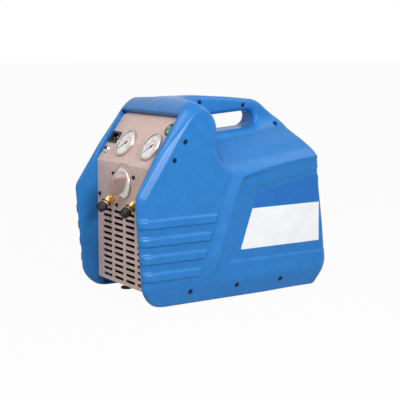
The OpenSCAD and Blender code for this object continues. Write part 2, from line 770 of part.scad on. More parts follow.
// Compressor and motor
module crankcase() {
    mid_y = (crank_y[0] + crank_y[1]) / 2;
    color(iron) difference() {
        union() {
            translate([-crank_half, crank_y[0], crank_z[0]])
                cube([2 * crank_half, crank_y[1] - crank_y[0], crank_z[1] - crank_z[0]]);
            translate([0, cyl_y, crank_z[1] - eps]) cylinder(r = cyl_r + 4, h = head_z[0] - crank_z[1]);
            for (i = [0:3]) translate([0, cyl_y, crank_z[1] + 8 + 10 * i])
                cylinder(r = cyl_r + 9, h = 4);
        }
        translate([-crank_half + 6, crank_y[0] + 6, crank_z[0] + 6])
            cube([2 * crank_half - 12, crank_y[1] - crank_y[0] - 22,
                  crank_z[1] - crank_z[0] - 12]);
        translate([0, cyl_y, crank_z[1] - 10]) cylinder(r = piston_r + running, h = 100);
        translate([0, crank_y[0] - 1, shaft_z]) rotate([-90, 0, 0])
            cylinder(r = shaft_r + running, h = 10);
        translate([0, crank_y[1] - 12, shaft_z]) rotate([-90, 0, 0])
            cylinder(r = 16, h = 20);
        translate([0, crank_y[1] - 20, shaft_z]) rotate([-90, 0, 0])
            cylinder(r = shaft_r + 1, h = 20);
    }
}
module cylinder_head() {
    color(iron) difference() {
        translate([-34, cyl_y - 34, head_z[0]]) cube([68, 68, head_z[1] - head_z[0]]);
        for (i = [-2:2]) translate([i * 12 - 3, cyl_y - 40, head_z[1] - 8]) cube([6, 80, 20]);
        translate([0, cyl_y, head_z[0] - 1]) cylinder(r = 14, h = 8);
        for (s = [-1, 1]) translate([s * 35, cyl_y, head_z[0] + 8]) rotate([0, -s * 90, 0])
            cylinder(r = pipe_r, h = 9);
    }
}
module crankshaft() {
    color(steel) {
        translate([0, crank_y[0], shaft_z]) rotate([-90, 0, 0])
            cylinder(r = shaft_r, h = bell_y + 2 - crank_y[0]);
        translate([0, cyl_y - 6, shaft_z + throw]) rotate([-90, 0, 0])
            cylinder(r = eccentric_r, h = 12);
    }
}
// The big end is open by the full orbit of the eccentric
module connecting_rod() {
    color("silver") difference() {
        union() {
            translate([0, cyl_y - 5.5, shaft_z]) rotate([-90, 0, 0])
                cylinder(r = rod_ring_r + 4, h = 11);
            translate([-5, cyl_y - 5, shaft_z + rod_ring_r + 1])
                cube([10, 10, wrist_z - shaft_z - rod_ring_r - 6]);
            translate([0, cyl_y - 5.5, wrist_z]) rotate([-90, 0, 0]) cylinder(r = 8, h = 11);
        }
        translate([0, cyl_y - 20, shaft_z]) rotate([-90, 0, 0]) cylinder(r = rod_ring_r, h = 40);
        translate([0, cyl_y - 20, wrist_z]) rotate([-90, 0, 0]) cylinder(r = 4, h = 40);
    }
}
module piston() {
    color("silver") {
        difference() {
            translate([0, cyl_y, wrist_z - 12]) cylinder(r = piston_r, h = 34);
            translate([-12, cyl_y - 7, wrist_z - 20]) cube([24, 14, 32]);
        }
        translate([0, cyl_y - 12, wrist_z]) rotate([-90, 0, 0]) cylinder(r = 4, h = 24);
    }
}
module bearings() {
    color(steel) {
        translate([0, crank_y[1] - 12, shaft_z]) rotate([-90, 0, 0]) ring(shaft_r + running, 16, 11);
        translate([0, bell_y - 8, shaft_z]) rotate([-90, 0, 0]) ring(shaft_r + running, 16, 11);
    }
}
module motor_can() {
    color(iron) translate([0, motor_y[0], shaft_z]) rotate([-90, 0, 0]) difference() {
        cylinder(r = motor_r, h = motor_y[1] - motor_y[0]);
        translate([0, 0, 4]) cylinder(r = motor_r - 14, h = 200);
        translate([0, 0, -1]) cylinder(r = 15, h = 20);
        for (i = [0:11]) rotate(i * 30) translate([motor_r - 2.5, -2.5, 12])
            cube([10, 5, motor_y[1] - motor_y[0] - 24]);
    }
}
module motor_rotor() {
    color(steel) translate([0, motor_y[0] + 16, shaft_z]) rotate([-90, 0, 0])
        ring(shaft_r, motor_r - 14.6, motor_y[1] - motor_y[0] - 30);
}
module end_bell() {
    color(iron) translate([0, motor_y[1], shaft_z]) rotate([-90, 0, 0]) difference() {
        cylinder(r1 = motor_r, r2 = motor_r - 14, h = bell_y + 6 - motor_y[1]);
        translate([0, 0, -1]) cylinder(r = shaft_r + 3, h = 12);
        translate([0, 0, bell_y - 8 - motor_y[1]]) cylinder(r = 16, h = 11);
        for (i = [0:5]) rotate(i * 60) translate([26, 0, -1]) cylinder(r = 5, h = 40);
    }
}
module isolators() {
    color(dark) both_sides() for (y = [crank_y[0] + 10, crank_y[1] - 10])
        translate([crank_half - 10, y, tray_z + rib_step + tray_t])
            cylinder(r = 8, h = crank_z[0] - tray_z - rib_step - tray_t);
    color(dark) translate([-16, motor_y[1] - 20, tray_z + rib_step + tray_t]) difference() {
        cube([32, 14, 6]);
        translate([16, -1, shaft_z - tray_z - rib_step - tray_t]) rotate([-90, 0, 0])
            cylinder(r = motor_r, h = 40);
    }
}
module capacitor() {
    color("#30343a") translate([76, 60, tray_z + rib_step + tray_t]) {
        cylinder(r = 18, h = 62);
        for (x = [-6, 6]) translate([x - 0.5, -3, 60]) cube([1, 6, 10]);
    }
}
module capacitor_clip() {
    color(steel) translate([76, 60, tray_z + rib_step + tray_t]) {
        translate([0, 0, 26]) ring(18, 19.5, 12);
        translate([-6, 18.4, 0]) cube([12, 1.5, 30]);
        translate([-6, 18.4, 0]) cube([12, 14, 1.5]);
    }
}

// Pipework
module suction_pipe() {
    y0 = panel_y + panel_t + block_d;
    color(copper) {
        pipe([[suction_at.x, y0, suction_at.y], [suction_at.x, filter_y[0], suction_at.y]], pipe_r);
        pipe([[suction_at.x, filter_y[1], suction_at.y], [suction_at.x, cyl_y, suction_at.y],
              [suction_at.x, cyl_y, head_z[0] + 8], [-26.2, cyl_y, head_z[0] + 8]], pipe_r);
    }
}
module inlet_filter() {
    color(brass) translate([suction_at.x, filter_y[0], suction_at.y]) rotate([-90, 0, 0])
        rotate_extrude() polygon([[0, 0], [6, 0], [filter_r, 8], [filter_r, 42], [6, 50], [0, 50]]);
}
module discharge_pipe() {
    z = head_z[0] + 8;
    color(copper) pipe([[26.2, cyl_y, z], [66, cyl_y, z], [66, cond_y, z], [cond_half + 11, cond_y, z],
                        [cond_half + 11, cond_y, tube_z(tube_count - 1)],
                        [cond_half + 3, cond_y, tube_z(tube_count - 1)]], pipe_r);
}
module liquid_pipe() {
    x = -cond_half - 11;
    riser_y = cond_y + 10;
    top = block_z[0] + 8;
    color(copper) pipe([[-cond_half - 3, cond_y, tube_z(0)], [x, cond_y, tube_z(0)],
                        [x, riser_y, tube_z(0)], [x, riser_y, top], [x, cond_y, top],
                        [-block_half, cond_y, top]], pipe_r);
}
module gauge_pipes() {
    foot_s = gauge_s - gauge_d / 2 + 12;
    back = [panel_y + foot_s * sin(tilt) + 34 * cos(tilt), bend_z + foot_s * cos(tilt) - 34 * sin(tilt)];
    turn_y = back.x + 8 * cos(tilt);
    port_top = block_z[1] - 8;
    color(copper) for (x = gauge_x) {
        x1 = x > 0 ? 44 : x;
        pipe([[x, back.x, back.y], [x, turn_y, back.y - 8 * sin(tilt)], [x1, turn_y, port_top],
              [x1, panel_y + panel_t + block_d, port_top]], 2);
    }
}
module pressure_switch() {
    color(dark) translate([24, panel_y + panel_t + block_d, port_z + 12]) rotate([-90, 0, 0]) {
        cylinder(r = 6, h = 6, $fn = 6);
        translate([0, 0, 6]) cylinder(r = 11, h = 18);
    }
}

// Lifts a piece from the base plane to the ground's height and centres the body over the origin
module seated() {
    translate([0, -mid_y, skirt]) children();
}

seated() right_shell();
seated() left_shell();
seated() front_panel();
seated() rear_panel();
seated() base_plate();
seated() rubber_feet();
seated() handle_screws();
seated() rim_screws();
seated() base_screws();
seated() panel_screws();
seated() rear_screws();
seated() side_labels();
seated() low_gauge_case();
seated() low_gauge_dial();
seated() low_gauge_needle();
seated() low_gauge_lens();
seated() high_gauge_case();
seated() high_gauge_dial();
seated() high_gauge_needle();
seated() high_gauge_lens();
seated() mode_knob();
seated() valve_stem();
seated() valve_body();
seated() switch_body();
seated() switch_rocker();
seated() power_inlet();
seated() inlet_pins();
seated() breaker_body();
seated() reset_button();
seated() inlet_fitting();
seated() inlet_cap();
seated() inlet_cap_seal();
seated() inlet_cap_strap();
seated() outlet_fitting();
seated() outlet_cap();
seated() outlet_cap_seal();
seated() outlet_cap_strap();
seated() condenser_fins();
seated() condenser_tubes();
seated() condenser_ends();
seated() fan_frame();
seated() fan_rotor();
seated() crankcase();
seated() cylinder_head();
seated() crankshaft();
seated() connecting_rod();
seated() piston();
seated() bearings();
seated() motor_can();
seated() motor_rotor();
seated() end_bell();
seated() isolators();
seated() capacitor();
seated() capacitor_clip();
seated() suction_pipe();
seated() discharge_pipe();
seated() liquid_pipe();
seated() gauge_pipes();
seated() inlet_filter();
seated() pressure_switch();
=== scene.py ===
"""Looks of a portable refrigerant recovery machine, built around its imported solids.

Sizes are in millimetres and become metres as each mesh is made. Front faces -Y, up is +Z. As in
the part's source, pieces are drawn from a base plane a skirt's depth above the ground, with the
middle of the body a little behind the drawing's origin.
"""
import math

import bmesh
import bpy
import numpy as np
from mathutils import Matrix, Vector, geometry


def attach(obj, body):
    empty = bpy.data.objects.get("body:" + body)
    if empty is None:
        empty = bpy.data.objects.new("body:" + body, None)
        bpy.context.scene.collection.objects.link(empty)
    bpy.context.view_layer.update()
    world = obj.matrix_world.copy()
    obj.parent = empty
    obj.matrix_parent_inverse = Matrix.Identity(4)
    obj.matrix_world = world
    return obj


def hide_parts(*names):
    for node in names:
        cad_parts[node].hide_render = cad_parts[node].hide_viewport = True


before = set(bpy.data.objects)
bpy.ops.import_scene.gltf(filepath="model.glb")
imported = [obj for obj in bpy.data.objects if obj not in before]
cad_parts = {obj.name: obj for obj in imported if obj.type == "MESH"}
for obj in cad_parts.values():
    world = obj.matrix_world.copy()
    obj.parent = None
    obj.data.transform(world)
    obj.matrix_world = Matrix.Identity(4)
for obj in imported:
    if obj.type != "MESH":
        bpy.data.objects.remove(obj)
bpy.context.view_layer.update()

MM = 0.001

# Body outline
HALF_W = 125.0
RIB_STEP = 4.0
RIB_COUNT = 4
RIB_TOP = 152.5
RIB_PITCH = 31
RIB_END = -38
RIB_LEAN = 0.36
RIB_BAND = 17
RIDGE_H = 7.0
RIDGE_FALL = 21
FRAME_INSET = 3.6
POCKET_INSET = 3.0
RIM_BAND = 17.0
RIM_FALL = 0.36
SIDE_X = HALF_W - 2.5
TOP_Z = 357.0
SKIRT = 12.0
FLOOR_Z = -9.0
MID_Y = 5.6
WALL = 5.0
CELL = 2.0
SEAM_X = 0.12
TILT = math.radians(35)

# Front opening and panel
PANEL_Y = -164.5
PANEL_HALF = 102.5
PANEL_BOTTOM = 13.0
PANEL_T = 1.5
BEND_Z = 236.0
BEND_R = 6.0
OPENING_HALF = 103.0
LABEL_X = 115.95
SLOPE_LEN = 106.2
FLANGE_X = 101.4
FLANGE_Z = (16, 233)
INK_H = 0.06
DIAL_INK_H = 2.15

# Control positions: across, and up from the ground or up the slope
GAUGES = {"low": -30.0, "high": 62.0}
GAUGE_S = 42.0
GAUGE_R = 27.0
SWITCH_AT = (87.0, 80.0)
SOCKET_AT = (-84.0, 51.0)
BREAKER_AT = (-88.0, 25.0)
KNOB_AT = (0.0, 202.0)
KNOB_R = 28.0
KNOB_TURN = math.radians(40)
PORT_X = 45.0
PORT_Z = 168.0
PORT_TILT = math.radians(45)
ELBOW_OUT = 6.5
NECK_R = 7.6
NECK_END = 10.5
THREAD_END = 22.0
CAP_START = 11.5
CAP_END = 25.5
CAP_R = 8.0
STRAP_AT = 7.9
SLOT_W = 34.0
SLOT_H = 5.5
SLOT_PITCH = (43.0, 11.2)
SLOT_TOP = 146.0
SLOT_ROWS = 12
PANEL_SCREWS = ((38.0, 216.0), (26.0, 159.0), (92.0, 173.0))
RIM_SCREW_S = (32.0, 70.0)
RIM_SCREW_DEPTH = 19.0
HANDLE_SCREWS = ((-15.0, 343.0), (83.0, 336.0), (152.0, 299.0))
BASE_SCREWS = ((-97.0, 16.0), (3.0, 16.0), (102.0, 16.0))


# Materials
def new_material(name, metallic=0.0, coat=0.0):
    mat = bpy.data.materials.new(name)
    mat.use_nodes = True
    shader = mat.node_tree.nodes["Principled BSDF"]
    shader.inputs["Metallic"].default_value = metallic
    shader.inputs["Coat Weight"].default_value = coat
    shader.inputs["Coat Roughness"].default_value = 0.25
    coords = mat.node_tree.nodes.new("ShaderNodeTexCoord")
    return mat, shader, coords.outputs["Object"]


def add_noise(mat, coords, scale, detail=3.0, stretch=None):
    tree = mat.node_tree
    noise = tree.nodes.new("ShaderNodeTexNoise")
    noise.inputs["Scale"].default_value = scale
    noise.inputs["Detail"].default_value = detail
    if stretch:
        mapping = tree.nodes.new("ShaderNodeMapping")
        mapping.inputs["Scale"].default_value = stretch
        tree.links.new(coords, mapping.inputs["Vector"])
        coords = mapping.outputs["Vector"]
    tree.links.new(coords, noise.inputs["Vector"])
    return noise.outputs["Fac"]


def linear(rgb):
    return [(c / 255 / 12.92 if c <= 10 else ((c / 255 + 0.055) / 1.055) ** 2.4) for c in rgb] + [1.0]


def add_colours(mat, shader, factor, dark, light, span=(0.35, 0.65)):
    ramp = mat.node_tree.nodes.new("ShaderNodeValToRGB")
    ramp.color_ramp.elements[0].position = span[0]
    ramp.color_ramp.elements[1].position = span[1]
    ramp.color_ramp.elements[0].color = linear(dark)
    ramp.color_ramp.elements[1].color = linear(light)
    mat.node_tree.links.new(factor, ramp.inputs["Fac"])
    mat.node_tree.links.new(ramp.outputs["Color"], shader.inputs["Base Color"])


def add_roughness(mat, shader, factor, low, high):
    spread = mat.node_tree.nodes.new("ShaderNodeMapRange")
    spread.inputs["To Min"].default_value = low
    spread.inputs["To Max"].default_value = high
    mat.node_tree.links.new(factor, spread.inputs["Value"])
    mat.node_tree.links.new(spread.outputs["Result"], shader.inputs["Roughness"])


def add_bump(mat, shader, factor, strength, distance):
    bump = mat.node_tree.nodes.new("ShaderNodeBump")
    bump.inputs["Strength"].default_value = strength
    bump.inputs["Distance"].default_value = distance * MM
    mat.node_tree.links.new(factor, bump.inputs["Height"])
    mat.node_tree.links.new(bump.outputs["Normal"], shader.inputs["Normal"])


def finish_like(name, dark, light, rough, grain, bump=0.0, metallic=0.0, coat=0.0, stretch=None,
                shine=0.5):
    """A finish with two near colours, uneven gloss and a fine relief; grain is in marks per metre."""
    mat, shader, coords = new_material(name, metallic, coat)
    shader.inputs["Specular IOR Level"].default_value = shine
    broad = add_noise(mat, coords, grain * 0.06, 4.0)
    fine = add_noise(mat, coords, grain, 3.0, stretch)
    add_colours(mat, shader, broad, dark, light)
    add_roughness(mat, shader, fine, rough[0], rough[1])
    if bump:
        add_bump(mat, shader, fine, bump, 0.12)
    return mat


def glass_like(name):
    mat, shader, coords = new_material(name)
    shader.inputs["Base Color"].default_value = (0.97, 0.98, 0.98, 1)
    shader.inputs["Transmission Weight"].default_value = 1.0
    shader.inputs["IOR"].default_value = 1.2
    smudge = add_noise(mat, coords, 140.0, 4.0)
    add_roughness(mat, shader, smudge, 0.0, 0.06)
    return mat


MATS = {
    "shell": finish_like("moulded_blue", (34, 118, 190), (39, 124, 197), (0.27, 0.37), 800, 0.5,
                         shine=0.3),
    "panel": finish_like("panel_paint", (221, 190, 180), (229, 200, 190), (0.34, 0.5), 1800, 0.12,
                         coat=0.1),
    "steel": finish_like("plated_steel", (150, 152, 156), (186, 188, 192), (0.25, 0.42), 900, 0.08,
                         metallic=1.0),
    "bezel": finish_like("bezel_metal", (196, 189, 187), (220, 213, 210), (0.24, 0.34), 1200, 0.015,
                         metallic=0.85),
    "dial": finish_like("dial_card", (226, 220, 218), (236, 231, 229), (0.5, 0.62), 1500, 0.03),
    "ink_black": finish_like("ink_black", (40, 36, 40), (58, 52, 56), (0.5, 0.65), 2500, 0.03),
    "ink_red": finish_like("ink_red", (186, 62, 58), (205, 84, 76), (0.5, 0.65), 2500, 0.03),
    "ink_grey": finish_like("ink_grey", (132, 112, 112), (150, 130, 130), (0.5, 0.65), 2500, 0.03),
    "needle": finish_like("needle_enamel", (52, 40, 44), (70, 54, 58), (0.3, 0.45), 2500, 0.03),
    "lens": glass_like("lens_clear"),
    "black": finish_like("moulded_black", (20, 18, 22), (34, 31, 36), (0.38, 0.56), 1500, 0.25),
    "screw": finish_like("blackened_screw", (18, 16, 26), (34, 31, 44), (0.3, 0.5), 1500, 0.12,
                         metallic=0.4),
    "rubber": finish_like("foot_rubber", (22, 22, 24), (36, 36, 38), (0.65, 0.85), 1200, 0.4),
    "label": finish_like("label_film", (242, 243, 246), (248, 249, 251), (0.28, 0.4), 700, 0.04),
    "band": finish_like("band_film", (16, 104, 186), (20, 110, 193), (0.26, 0.36), 900, 0.04,
                        shine=0.4),
    "knob": finish_like("knob_grey", (175, 147, 142), (191, 163, 157), (0.3, 0.46), 1600, 0.2),
    "knob_rim": finish_like("knob_rim", (206, 200, 198), (226, 221, 218), (0.24, 0.34), 900, 0.015,
                            metallic=0.7),
    "green": finish_like("rocker_green", (70, 140, 104), (92, 162, 124), (0.22, 0.38), 1500, 0.05,
                         coat=0.3),
    "brass": finish_like("turned_brass", (205, 160, 92), (236, 200, 132), (0.2, 0.36), 900, 0.06,
                         metallic=0.9),
    "seal": finish_like("seal_rubber", (110, 44, 38), (130, 58, 48), (0.6, 0.8), 1200, 0.2),
    "copper": finish_like("drawn_copper", (160, 92, 58), (196, 122, 82), (0.25, 0.45), 700, 0.06,
                          metallic=0.95),
    "iron": finish_like("cast_iron_paint", (74, 78, 84), (94, 98, 104), (0.45, 0.66), 700, 0.5),
    "alloy": finish_like("cast_alloy", (150, 152, 155), (180, 182, 184), (0.35, 0.55), 800, 0.25,
                         metallic=0.8),
    # fin foil coloured near black: painted shade for the dark space behind the panel slots, not the
    # foil's own colour
    "fin": finish_like("fin_foil_painted_shade", (44, 42, 46), (62, 60, 64), (0.45, 0.6), 900, 0.05,
                       metallic=0.3),
}


# Mesh helpers
def add_piece(name, verts, faces, mat, body="machine", nodes=(), slot=None, smooth=None, place=None):
    """A mesh object in the shared frame; verts are millimetres in the frame that place gives."""
    mesh = bpy.data.meshes.new(name)
    mesh.from_pydata([tuple(float(c) for c in v) for v in verts], [], [tuple(f) for f in faces])
    return add_mesh(name, mesh, mat, body, nodes, smooth, place)


def add_mesh(name, mesh, mat, body="machine", nodes=(), smooth=None, place=None):
    if place is not None:
        mesh.transform(place)
    mesh.transform(Matrix.Diagonal((MM, MM, MM, 1)) @ Matrix.Translation((0, -MID_Y, SKIRT)))
    mesh.materials.append(MATS[mat])
    obj = bpy.data.objects.new(name, mesh)
    bpy.context.scene.collection.objects.link(obj)
    tidy = bmesh.new()
    tidy.from_mesh(mesh)
    bmesh.ops.recalc_face_normals(tidy, faces=tidy.faces)
    tidy.to_mesh(mesh)
    tidy.free()
    if smooth is not None:
        mesh.shade_smooth()
        mesh.set_sharp_from_angle(angle=math.radians(smooth))
    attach(obj, body)
    if nodes:
        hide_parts(*nodes)
    return obj


def bevel(obj, width, segments=2, angle=35):
    mod = obj.modifiers.new("edge", "BEVEL")
    mod.width = width * MM
    mod.segments = segments
    mod.limit_method = "ANGLE"
    mod.angle_limit = math.radians(angle)
    return obj


def lathe_parts(profile, count=48):
    """Vertices and faces of a profile of (radius, height) points turned about z."""
    verts = []
    faces = []
    rows = []
    for r, h in profile:
        if r < 1e-6:
            rows.append([len(verts)])
            verts.append((0.0, 0.0, h))
            continue
        row = []
        for i in range(count):
            a = 2 * math.pi * i / count
            row.append(len(verts))
            verts.append((r * math.cos(a), r * math.sin(a), h))
        rows.append(row)
    for low, high in zip(rows, rows[1:]):
        for i in range(count):
            quad = [low[i % len(low)], low[(i + 1) % len(low)], high[(i + 1) % len(high)],
                    high[i % len(high)]]
            face = list(dict.fromkeys(quad))
            if len(face) > 2:
                faces.append(face)
    return verts, faces


def prism_parts(outline, z0, z1):
    """Vertices and faces of a closed outline pulled from z0 to z1."""
    n = len(outline)
    verts = [(x, y, z0) for x, y in outline] + [(x, y, z1) for x, y in outline]
    faces = [list(reversed(range(n))), list(range(n, 2 * n))]
    for i in range(n):
        j = (i + 1) % n
        faces.append([i, j, n + j, n + i])
    return verts, faces


def join_parts(*parts):
    """Parts of (vertices, faces) numbered from zero, put into one list."""
    verts = []
    faces = []
    for part_verts, part_faces in parts:
        base = len(verts)
        verts.extend(part_verts)
        faces.extend([[base + i for i in face] for face in part_faces])
    return verts, faces


def moved(part, matrix):
    verts, faces = part
    return [tuple(matrix @ Vector(v)) for v in verts], faces


def rounded(corners, steps=6):
    """A closed outline with each corner (x, y, radius) rounded."""
    out = []
    count = len(corners)
    for i, corner in enumerate(corners):
        q = np.array(corner[:2], float)
        radius = corner[2] if len(corner) > 2 else 0
        if radius <= 0:
            out.append(tuple(q))
            continue
        u = np.array(corners[i - 1][:2], float) - q
        w = np.array(corners[(i + 1) % count][:2], float) - q
        u /= np.linalg.norm(u)
        w /= np.linalg.norm(w)
        half = math.acos(float(np.clip(u @ w, -1, 1))) / 2
        centre = q + (u + w) / np.linalg.norm(u + w) * radius / math.sin(half)
        a = q + u * radius / math.tan(half) - centre
        b = q + w * radius / math.tan(half) - centre
        a0 = math.atan2(a[1], a[0])
        turn = math.atan2(b[1], b[0]) - a0
        turn = (turn + math.pi) % (2 * math.pi) - math.pi
        for k in range(steps + 1):
            t = a0 + turn * k / steps
            out.append((centre[0] + radius * math.cos(t), centre[1] + radius * math.sin(t)))
    return out


def box_outline(cx, cy, w, h, r=0.0, steps=5):
    corners = [(cx - w / 2, cy - h / 2, r), (cx + w / 2, cy - h / 2, r),
               (cx + w / 2, cy + h / 2, r), (cx - w / 2, cy + h / 2, r)]
    return rounded(corners, steps)


def disc_outline(cx, cy, r, count=40):
    return [(cx + r * math.cos(2 * math.pi * i / count), cy + r * math.sin(2 * math.pi * i / count))
            for i in range(count)]


def arc_strip(r0, r1, a0, a1, z, steps=24):
    """A flat curved strip from angle a0 to a1, in degrees clockwise from twelve o'clock."""
    verts = []
    faces = []
    for i in range(steps + 1):
        a = math.radians(90 - (a0 + (a1 - a0) * i / steps))
        verts.append((r0 * math.cos(a), r0 * math.sin(a), z))
        verts.append((r1 * math.cos(a), r1 * math.sin(a), z))
    for i in range(steps):
        faces.append([2 * i, 2 * i + 1, 2 * i + 3, 2 * i + 2])
    return verts, faces


# Local frames, with z pointing out of the panel
def on_panel(x, z):
    return Matrix.Translation((x, PANEL_Y, z)) @ Matrix.Rotation(math.pi / 2, 4, "X")


def on_slope(x, s):
    return (Matrix.Translation((0, PANEL_Y, BEND_Z)) @ Matrix.Rotation(-TILT, 4, "X")
            @ Matrix.Translation((x, 0, s)) @ Matrix.Rotation(math.pi / 2, 4, "X"))


def on_port(x):
    return (on_panel(x, PORT_Z) @ Matrix.Translation((0, 0, ELBOW_OUT))
            @ Matrix.Rotation(PORT_TILT, 4, "X"))


# The two moulded halves
REAR_TOP = (190.0, 242.0)
REAR_FOOT = (218.0, 40.0)
REAR_LEAN = math.atan2(REAR_FOOT[0] - REAR_TOP[0], REAR_TOP[1] - REAR_FOOT[1])
REAR_MID = math.dist(REAR_TOP, REAR_FOOT) / 2 - 10
REAR_OPEN = (86.0, REAR_MID - 12)
SIDE = rounded([(-190, FLOOR_Z, 50), (-207, 189, 26), (-96.0, TOP_Z - 2, 64), (-20, TOP_Z, 220),
                (60, TOP_Z - 5, 150), (118, TOP_Z - 11, 50), (174, TOP_Z - 55, 40), (*REAR_TOP, 60),
                (*REAR_FOOT, 12), (188, FLOOR_Z, 13)], 8)
SECTION = rounded([(-40, FLOOR_Z), (113.5, FLOOR_Z, 8), (SIDE_X, 30, 22), (SIDE_X, TOP_Z + 30),
                   (-40, TOP_Z + 30)], 8)
PLAN = rounded([(-40, -214), (124, -214, 3), (135, -200), (135, 192), (108, 220, 10),
                (-40, 222)], 8)
FRAME_EDGE = rounded([(-73, -16), (-57, 31, 20), (-12, 162, 60), (8, 216, 18), (107, 236, 60),
                      (260, 254), (260, -16)], 8)
POCKET_EDGE = rounded([(-13, 61, 6), (260, 60), (260, 231), (35, 189, 6)], 6)
HOLE_MID = (47.0, 307.0)
HOLE_HALF = (61.0, 15.5)
HOLE_R = 14.0
HOLE_LEAN = math.radians(4.3)
HANDLE_HALF = 22
SADDLE_Z = 285
SADDLE_RISE = 0.1104
PIT_R = 4.4
SADDLE_X = (0, 26, 52, 84, 106, 121, 150)
SADDLE_DROP = (0, -2, -16, -32, -46, -62, -98)
BULGE_X = (0, 22, 60, 150)
BULGE_Y = (-14, -16, -25, -49)


def outline_distance(u, v, outline):
    """Signed distance from points to a closed outline, negative inside."""
    points = np.array(outline, float)
    ends = np.roll(points, -1, axis=0)
    nearest = np.full(u.shape, np.inf)
    inside = np.zeros(u.shape, bool)
    for (ax, ay), (bx, by) in zip(points, ends):
        ex, ey = bx - ax, by - ay
        length = ex * ex + ey * ey
        if length < 1e-9:
            continue
        t = np.clip(((u - ax) * ex + (v - ay) * ey) / length, 0, 1)
        nearest = np.minimum(nearest, (u - ax - t * ex) ** 2 + (v - ay - t * ey) ** 2)
        if ay != by:
            crosses = ((ay > v) != (by > v)) & (u < ex * (v - ay) / (by - ay) + ax)
            inside ^= crosses
    return np.where(inside, -1.0, 1.0) * np.sqrt(nearest)


def both(a, b, r):
    """Intersection of two distance fields with a round edge of radius r."""
    return (np.minimum(np.maximum(a, b), -r)
            + np.hypot(np.maximum(a + r, 0), np.maximum(b + r, 0)))


def either(a, b, r):
    """Union of two distance fields with a round fillet of radius r."""
    return (np.maximum(np.minimum(a, b), r)
            - np.hypot(np.maximum(r - a, 0), np.maximum(r - b, 0)))


def ease(t):
    t = np.clip(t, 0, 1)
    return t * t * (3 - 2 * t)


def smooth_line(xs, ys, spread=9):
    """A lookup of a broken line with its corners eased over a few millimetres."""
    grid = np.arange(-40.0, 200.0, 1.0)
    values = np.interp(np.abs(grid), xs, ys)
    kernel = np.hanning(2 * spread + 1)
    values = np.convolve(np.pad(values, spread, "edge"), kernel / kernel.sum(), "valid")
    return lambda x: np.interp(x, grid, values)


saddle_drop = smooth_line(SADDLE_X, SADDLE_DROP)
bulge_rear = smooth_line(BULGE_X, BULGE_Y)


def rib_height(y, z):
    """How far the raised bands on the side stand out."""
    total = np.zeros(y.shape)
    for i in range(RIB_COUNT):
        top = RIB_TOP - RIB_PITCH * i
        end = RIB_END - RIB_PITCH * i * RIB_LEAN
        up = ease((top + 2 - z) / 6.5) * ease((z - (top - RIB_BAND)) / 1.8)
        back = ease((end + (z - top) * RIB_LEAN - y) / 7.0)
        total = np.maximum(total, up * back)
    return total * RIB_STEP


def side_detail(y, z, plan_only):
    """How far the side skin is set in (positive) or stands out at a place on the side."""
    frame_d, pocket_d = plan_only
    ridge = np.where(frame_d > 0, np.clip(1 - frame_d / RIDGE_FALL, 0, 1) ** 1.15,
                     ease(1 + frame_d / 10))
    ridge = ridge * ease((z - 8) / 70)
    inset = FRAME_INSET * ease(-frame_d / 9) * ease((z - 18) / 45)
    inset = inset + POCKET_INSET * ease(0.5 - pocket_d / 6.0)
    return inset - RIDGE_H * ridge - rib_height(y, z)


def slope_place(y, z):
    """Distance up the sloped panel, and distance out of its face."""
    s = (y - PANEL_Y) * math.sin(TILT) + (z - BEND_Z) * math.cos(TILT)
    out = -(y - PANEL_Y) * math.cos(TILT) + (z - BEND_Z) * math.sin(TILT)
    return s, out


def outside_field(x, y, z, flat):
    """Distance field of the outer surface; flat holds the outline distances in the side view."""
    side_d, frame_d, pocket_d, hole_d = flat
    x = np.abs(x)
    skin = outline_distance(x, z, SECTION) + side_detail(y, z, (frame_d, pocket_d))
    rim = ease((-15 - y) / 40) * ease((z - 15) / 40)
    skin = skin + RIM_FALL * np.clip(side_d + RIM_BAND, 0, RIM_BAND) * rim
    edge = 6 + 15 * ease((z - 255) / 80) + 4 * ease((y - 60) / 80)
    body = both(side_d, skin, edge)
    body = both(body, outline_distance(x, y, PLAN), 8)
    saddle = (z - (SADDLE_Z + SADDLE_RISE * y + saddle_drop(x))) * 0.88
    handle = x - HANDLE_HALF - 3 * ease((330 - z) / 40)
    lean = 30 * ease((272 - z) / 70) - 36 * np.clip((z - 298) / 50, 0, 1.2) ** 2.4
    bulge = (y - bulge_rear(x) - lean) * 0.92
    keep = either(either(handle, bulge, 26), saddle, 20)
    body = both(body, keep, 11)
    body = both(body, -hole_d, 10)
    s, out = slope_place(y, z)
    width = OPENING_HALF + np.clip((PANEL_Y - y) / 38, 0, 1.3) * 9
    pocket = both(x - width, s - SLOPE_LEN - 0.6, 13)
    front = np.minimum(y - (PANEL_Y + 7), 7 - out - 14)
    pocket = np.maximum(pocket, front)
    body = both(body, -pocket, 3.2)
    return screw_pits(body, x, y, z)


def screw_pits(body, x, y, z):
    """Recesses for the screw heads, along x."""
    spots = [(y0, z0, 16.0) for y0, z0 in HANDLE_SCREWS]
    spots += [(y0, z0, SIDE_X - 6) for y0, z0 in BASE_SCREWS]
    for s in RIM_SCREW_S:
        spots.append((PANEL_Y + s * math.sin(TILT) + RIM_SCREW_DEPTH * math.cos(TILT),
                      BEND_Z + s * math.cos(TILT) - RIM_SCREW_DEPTH * math.sin(TILT), SIDE_X - 6))
    for y0, z0, x0 in spots:
        pit = np.maximum(np.hypot(y - y0, z - z0) - PIT_R, x0 - x)
        body = both(body, -pit, 1.0)
    return body


